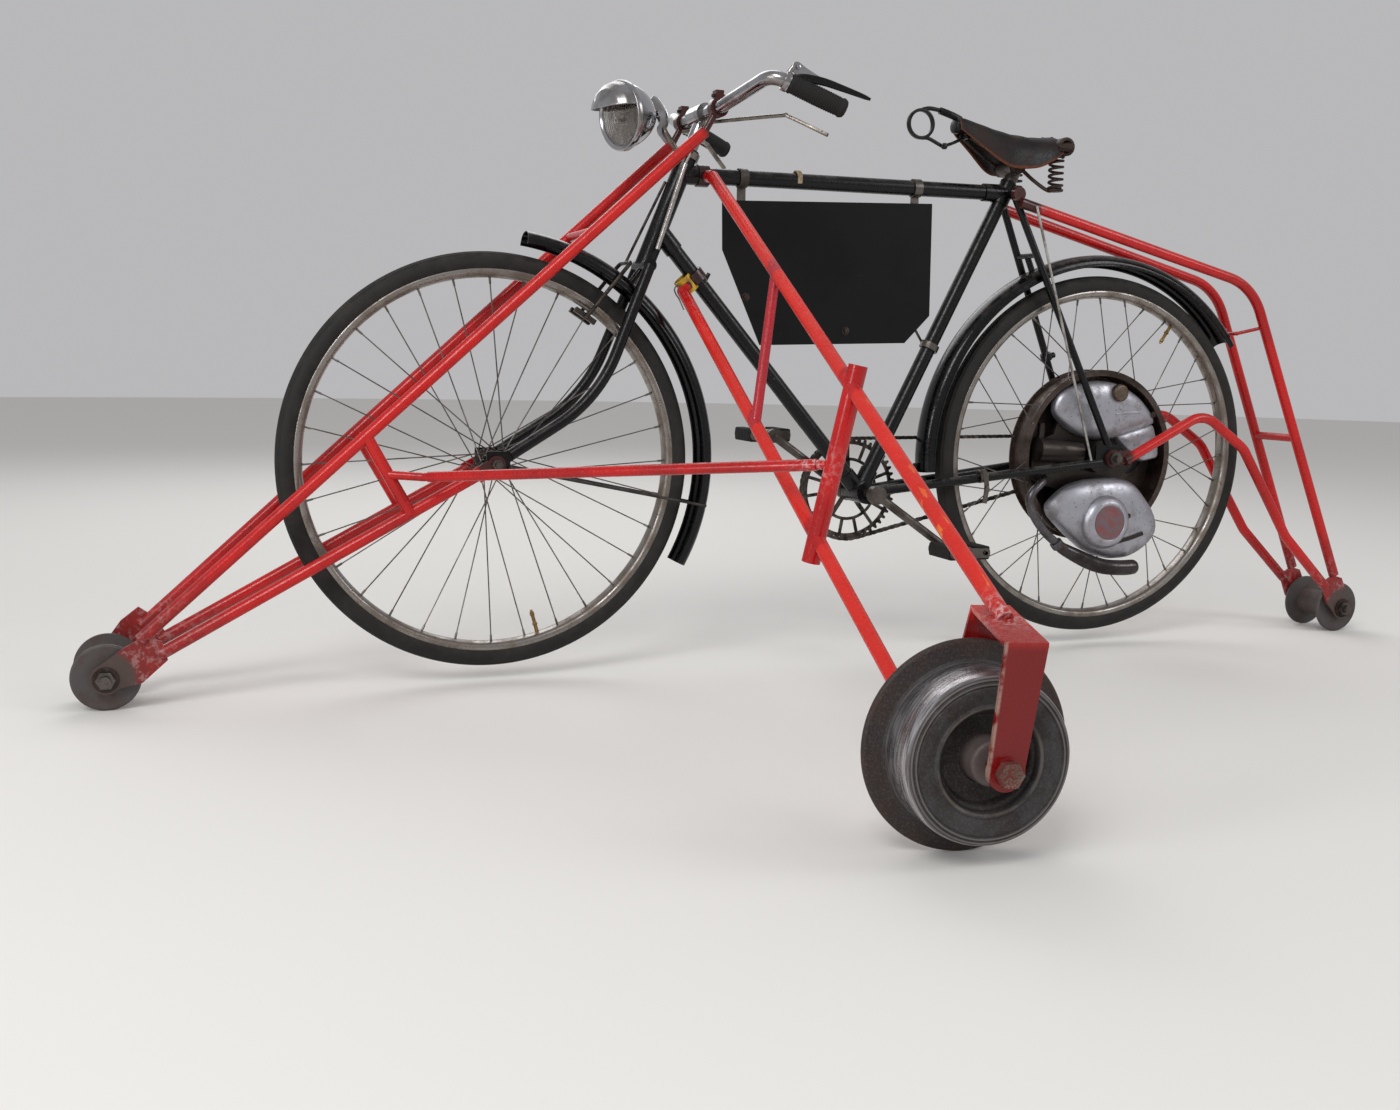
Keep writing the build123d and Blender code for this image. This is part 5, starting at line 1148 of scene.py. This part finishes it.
def small_bolts():
    """Bolt heads and nuts of the plates, clamps and sign."""
    shell = Shell()
    for x, y, z in ((668.0, -1.0, 592.0), (467.0, -1.0, 648.0)):
        shell.bolt((x, y, z), (0, -1, 0), 10.0, 5.0, 16.0)
    shell.piece("sign_bolts", RUSTY_STEEL, "rusty_steel")
    clamps = Shell()
    for side in SIDES:
        for x in (366.0, 382.0):
            clamps.bolt((x, side * 88.0, 975.0), (0, 0, 1), 8.0, 5.0)
    clamps.piece("clamp_bolts", RUSTY_STEEL, "rusty_steel")
    for name, finish, spot, run, width, radius in (
        ("yellow_tape", TAPE_YELLOW, (353.5, 0.0, 667.0), (401.0, 0.0, -444.0), 30.0, 16.0),
        ("pale_tape", TAPE_PALE, (562.0, 0.0, 860.0), (640.0, 0.0, 8.0), 9.0, 14.8),
    ):
        band = [
            (-width / 2, radius - 0.8), (width / 2, radius - 0.8), (width / 2 - 0.3, radius + 0.9),
            (-width / 2 + 0.3, radius + 0.9)
        ]
        Shell().ring(spot, run, band, 40).piece(name, finish)
    washers = Shell()
    for place in ROLLER_PLACES:
        washers.ring(place, (0, np.sign(place[1]), 0), sleeve(-1.9, 0.8, 8, 20, 0.8), 48)
    washers.piece("roller_washers", RUSTY_STEEL, "rusty_steel")
    hooks = Shell()
    for points in (
        [(360, -15.5, 674), (368, -16, 682), (377, -16, 683), (384, -16, 677), (385, -16, 671)],
        [(341, -14, 660), (331, -15, 664), (326, -15, 657), (329, -15, 648), (335, -15, 640), (344, -15, 622)],
    ):
        hooks.sweep(smooth_path(points, 6), circle(1.3, 8), ACROSS)
    clip = Shell()
    ring = sleeve(-8, 8, 8, 12, 0.8)
    clip.ring((945.0, -47.0, 321.8), (519.0, -30.0, 62.5), ring, 32)
    clip.sweep(
        smooth_path([(940, -56, 336), (946, -58, 320), (949, -58, 300), (946, -57, 271)], 6),
        bar(5, 1.5, 1.0), ACROSS
    )
    clip.bolt((947.0, -59.5, 300.0), (0, -1, 0), 9.0, 5.0)
    clip.piece("stay_clip", HUB_STEEL, "dull_steel")
    hooks.piece("wire_hooks", SPOKE_STEEL, "dull_steel")


# ---- materials of the bought and made parts

RED_PAINT = red_paint()
FRAME_BLACK = black_enamel("frame_black_enamel", 0.22, 0.70, 0.22)
GUARD_BLACK = black_enamel("mudguard_black_enamel", 0.12, 0.75, 0.16)
CHROME = plated("handlebar_chrome", (172, 172, 176), (118, 112, 106), (96, 66, 46), 0.70, 0.10, 0.22)
# painted reflection: the mirror's silver is darkened to brown-grey to show dark surroundings reflected in it
MIRROR_PAINTED_REFLECTION = plated("lamp_mirror_painted_dark_reflection", (104, 92, 82), (74, 62, 52), (70, 52, 36), 0.80, 0.06, 0.18)
RIM_STEEL = plated("rim_dull_chrome", (150, 145, 140), (112, 102, 92), (92, 66, 50), 0.60, 0.30, 0.22)
SPOKE_STEEL = plated("spoke_steel", (118, 113, 110), (84, 78, 74), (80, 60, 48), 0.62, 0.34, 0.24)
HUB_STEEL = plated("hub_and_crank_steel", (104, 99, 95), (66, 60, 56), (74, 54, 42), 0.58, 0.34, 0.26)
RUSTY_STEEL = plated("rusty_spring_steel", (60, 56, 54), (40, 37, 35), (62, 43, 35), 0.50, 0.45, 0.25)
BRASS = plated("dull_brass", (150, 120, 74), (98, 78, 52), (70, 52, 38), 0.62, 0.30, 0.25)
TYRE_RUBBER = dusty_rubber("dusty_tyre_rubber", (13, 13, 14), (80, 75, 70), 0.45)
GRIP_RUBBER = dusty_rubber("grip_and_pedal_rubber", (13, 13, 14), (70, 65, 61), 0.3)
ROLLER_IRON = cast_iron("guide_roller_iron", (84, 80, 79), (70, 52, 44), 0.7)
OUTRIGGER_IRON = outrigger_iron()
LEVER_METAL = plated("dull_lever_nickel", (134, 127, 118), (92, 84, 76), (74, 54, 42), 0.62, 0.24, 0.24)
CAP_METAL = plated("filler_cap_metal", (120, 112, 104), (84, 72, 62), (84, 60, 46), 0.52, 0.20, 0.3)
PIPE_METAL = plated("burnt_pipe_steel", (104, 103, 108), (64, 58, 58), (70, 54, 46), 0.55, 0.24, 0.28)
FADED_RED = plain_paint("faded_red_disc", (122, 64, 66), (102, 86, 90), 0.45)
TAPE_YELLOW = plain_paint("yellow_tape", (196, 158, 30), (140, 104, 30), 0.55)
TAPE_PALE = plain_paint("pale_tape", (176, 158, 128), (120, 104, 84), 0.6)
STRAP_GREY = strap_metal()
BRAKE_METAL = brake_metal()
SILENCER_METAL = plated("silencer_oily_steel", (74, 70, 72), (40, 36, 36), (58, 43, 36), 0.56, 0.22, 0.26)
BOLT_STEEL = plated("outrigger_bolt_steel", (138, 124, 114), (98, 82, 74), (106, 44, 38), 0.48, 0.28, 0.25)
SADDLE_STEEL = plated("dark_saddle_steel", (50, 49, 50), (33, 32, 32), (52, 41, 36), 0.62, 0.32, 0.25)
# painted shade: near-black plate seen through the holes of the drum's far wall
SHADE_BLACK = plain_paint("painted_shade_plate", (24, 21, 20), (12, 11, 11), 0.5)
DRUM_BLACK = plated("drum_oily_steel", (88, 80, 76), (48, 42, 39), (66, 44, 34), 0.54, 0.42, 0.24)
SILVER = cast_silver("motor_cast_silver", (170, 170, 178), (98, 92, 88), 0.66)
DARK_CASTING = cast_silver("motor_dark_casting", (60, 54, 51), (34, 28, 26), 0.85)
CHAIN_STEEL = oily_chain()
LEATHER = saddle_leather()
SIGN_BLACK = blank_sign()
LAMP_GLASS = lamp_glass()

NODE_FINISHES = (
    (FRAME_BLACK, "main_frame", "fork"), (STRAP_GREY, "stays"), (SIGN_BLACK, "sign_plate"),
    (RED_PAINT, "front_guide", "rear_guide", "outrigger_frame", "tie_bar"),
    (
        HUB_STEEL, "seat_post", "sign_clips", "front_axle", "front_hub", "rear_axle", "crankset",
        "roller_axles"
    ),
    (DRUM_BLACK, "rear_drum"), (CHAIN_STEEL, "rear_sprocket"), (DARK_CASTING, "motor_core"),
    (CHROME, "handlebar"), (BRAKE_METAL, "front_brake"), (LEVER_METAL, "lamp_bracket"),
    (ROLLER_IRON, "front_roller", "rear_roller"), (BOLT_STEEL, "outrigger_axle"),
)
for finish, *names in NODE_FINISHES:
    for node in (nodes[name] for name in names):
        if not node.material_slots:
            node.data.materials.append(finish)
        for place in node.material_slots:
            place.material = finish

front_lines = spoke_lines(FRONT_CENTRE, 32, (-29.0, 29.0), 19.0, 67.5)
rear_lines = spoke_lines(REAR_CENTRE, 36, (-18.5, 31.5), 169.0, 17.0)
tyre("front_cover", FRONT_CENTRE, "front_wheel")
tyre("rear_cover", REAR_CENTRE, "rear_wheel")
rim(
    "front_hoop", FRONT_CENTRE, "front_wheel", [line[:2] for line in front_lines],
    np.arctan2(48.6 - WHEEL_R, 84.8)
)
rim(
    "rear_hoop", REAR_CENTRE, "rear_wheel", [line[:2] for line in rear_lines],
    np.arctan2(609.3 - WHEEL_R, 1391.5 - WHEEL_BASE)
)
spokes("front_wires", front_lines, "front_wheel")
spokes("rear_wires", rear_lines, "rear_wheel")
chain_links("chain_run")
saddle_top()
saddle_frame()
headlamp()
lamp_hood()
levers()
grips()
motor()
drum_plate()
mudguard("front_blade", 8.0, 82.0, 111.0)
mudguard("rear_blade", WHEEL_BASE, 184.0, 148.0)
chainring()
pedal("pedal_left", -1.0, 852.7, 192.2)
pedal("pedal_right", 1.0, 559.3, 393.8)
outrigger_wheel()
small_bolts()


# ---- camera, floor and light


def camera():
    """The photograph's camera: where it stands, and its yaw, pitch and roll."""
    place = Vector((-0.5044, -2.4126, 0.5477))
    yaw, pitch, roll = 0.354182, -0.141431, 0.0171253
    forward = np.array((np.sin(yaw) * np.cos(pitch), np.cos(yaw) * np.cos(pitch), np.sin(pitch)))
    right = unit(np.cross(forward, UP))
    above = np.cross(right, forward)
    level = right * np.cos(roll) + above * np.sin(roll)
    above = above * np.cos(roll) - right * np.sin(roll)
    data = bpy.data.cameras.new("view")
    data.sensor_width = 36.0
    focal_pixels, picture_width = 1420.88, 1400.0
    data.lens = focal_pixels / picture_width * data.sensor_width
    data.clip_end = 100.0
    made = placed("view", data)
    turn = Matrix((level, above, -forward)).transposed().to_4x4()
    made.matrix_world = Matrix.Translation(place) @ turn
    bpy.context.scene.camera = made


def floor():
    """A plain pale floor under the lowest flange."""
    f = Finish("pale_floor")
    f.colour = tone(226, 224, 220)
    f.dress(0.85)
    shell = Shell()
    level = cad_low.z / MM - 0.3
    ring = circle(14000.0, 96)
    grid = np.stack([np.stack([ring[:, 0] * k, ring[:, 1] * k, np.full(96, level)], 1) for k in (0.02, 1.0)])
    shell.add(grid, caps=False)
    middle = len(shell.points[0]) // 2
    shell.faces.append(list(range(middle)))
    mesh = bpy.data.meshes.new("floor")
    mesh.from_pydata((np.concatenate(shell.points) * MM).tolist(), [], shell.faces)
    mesh.materials.append(f.material)
    placed("floor", mesh)


def lamp(name, spot, target, size, power):
    """A large square lamp at a point, turned to a target, both in metres."""
    data = bpy.data.lights.new(name, "AREA")
    data.size = size
    data.energy = power
    made = placed(name, data)
    made.location = spot
    made.rotation_euler = (Vector(target) - Vector(spot)).to_track_quat("-Z", "Y").to_euler()


def sky():
    """A pale surround that lights softly and is seen behind the bike."""
    world = bpy.data.worlds.new("studio")
    bpy.context.scene.world = world
    world.use_nodes = True
    tree = world.node_tree
    background = tree.nodes["Background"]
    background.inputs["Color"].default_value = tone(228, 228, 230)
    background.inputs["Strength"].default_value = 0.62


camera()
floor()
sky()
lamp("key", (-2.2, -3.4, 3.6), (0.5, -0.4, 0.4), 2.0, 96.0)
lamp("window", (-3.2, -1.9, 1.3), (0.4, -0.5, 0.4), 0.9, 30.0)
lamp("fill", (3.4, -2.6, 2.4), (0.8, -0.2, 0.4), 1.6, 36.0)
lamp("back", (0.6, 3.2, 3.4), (0.6, 0.0, 0.5), 3.0, 60.0)
bpy.context.scene.view_settings.view_transform = "Standard"
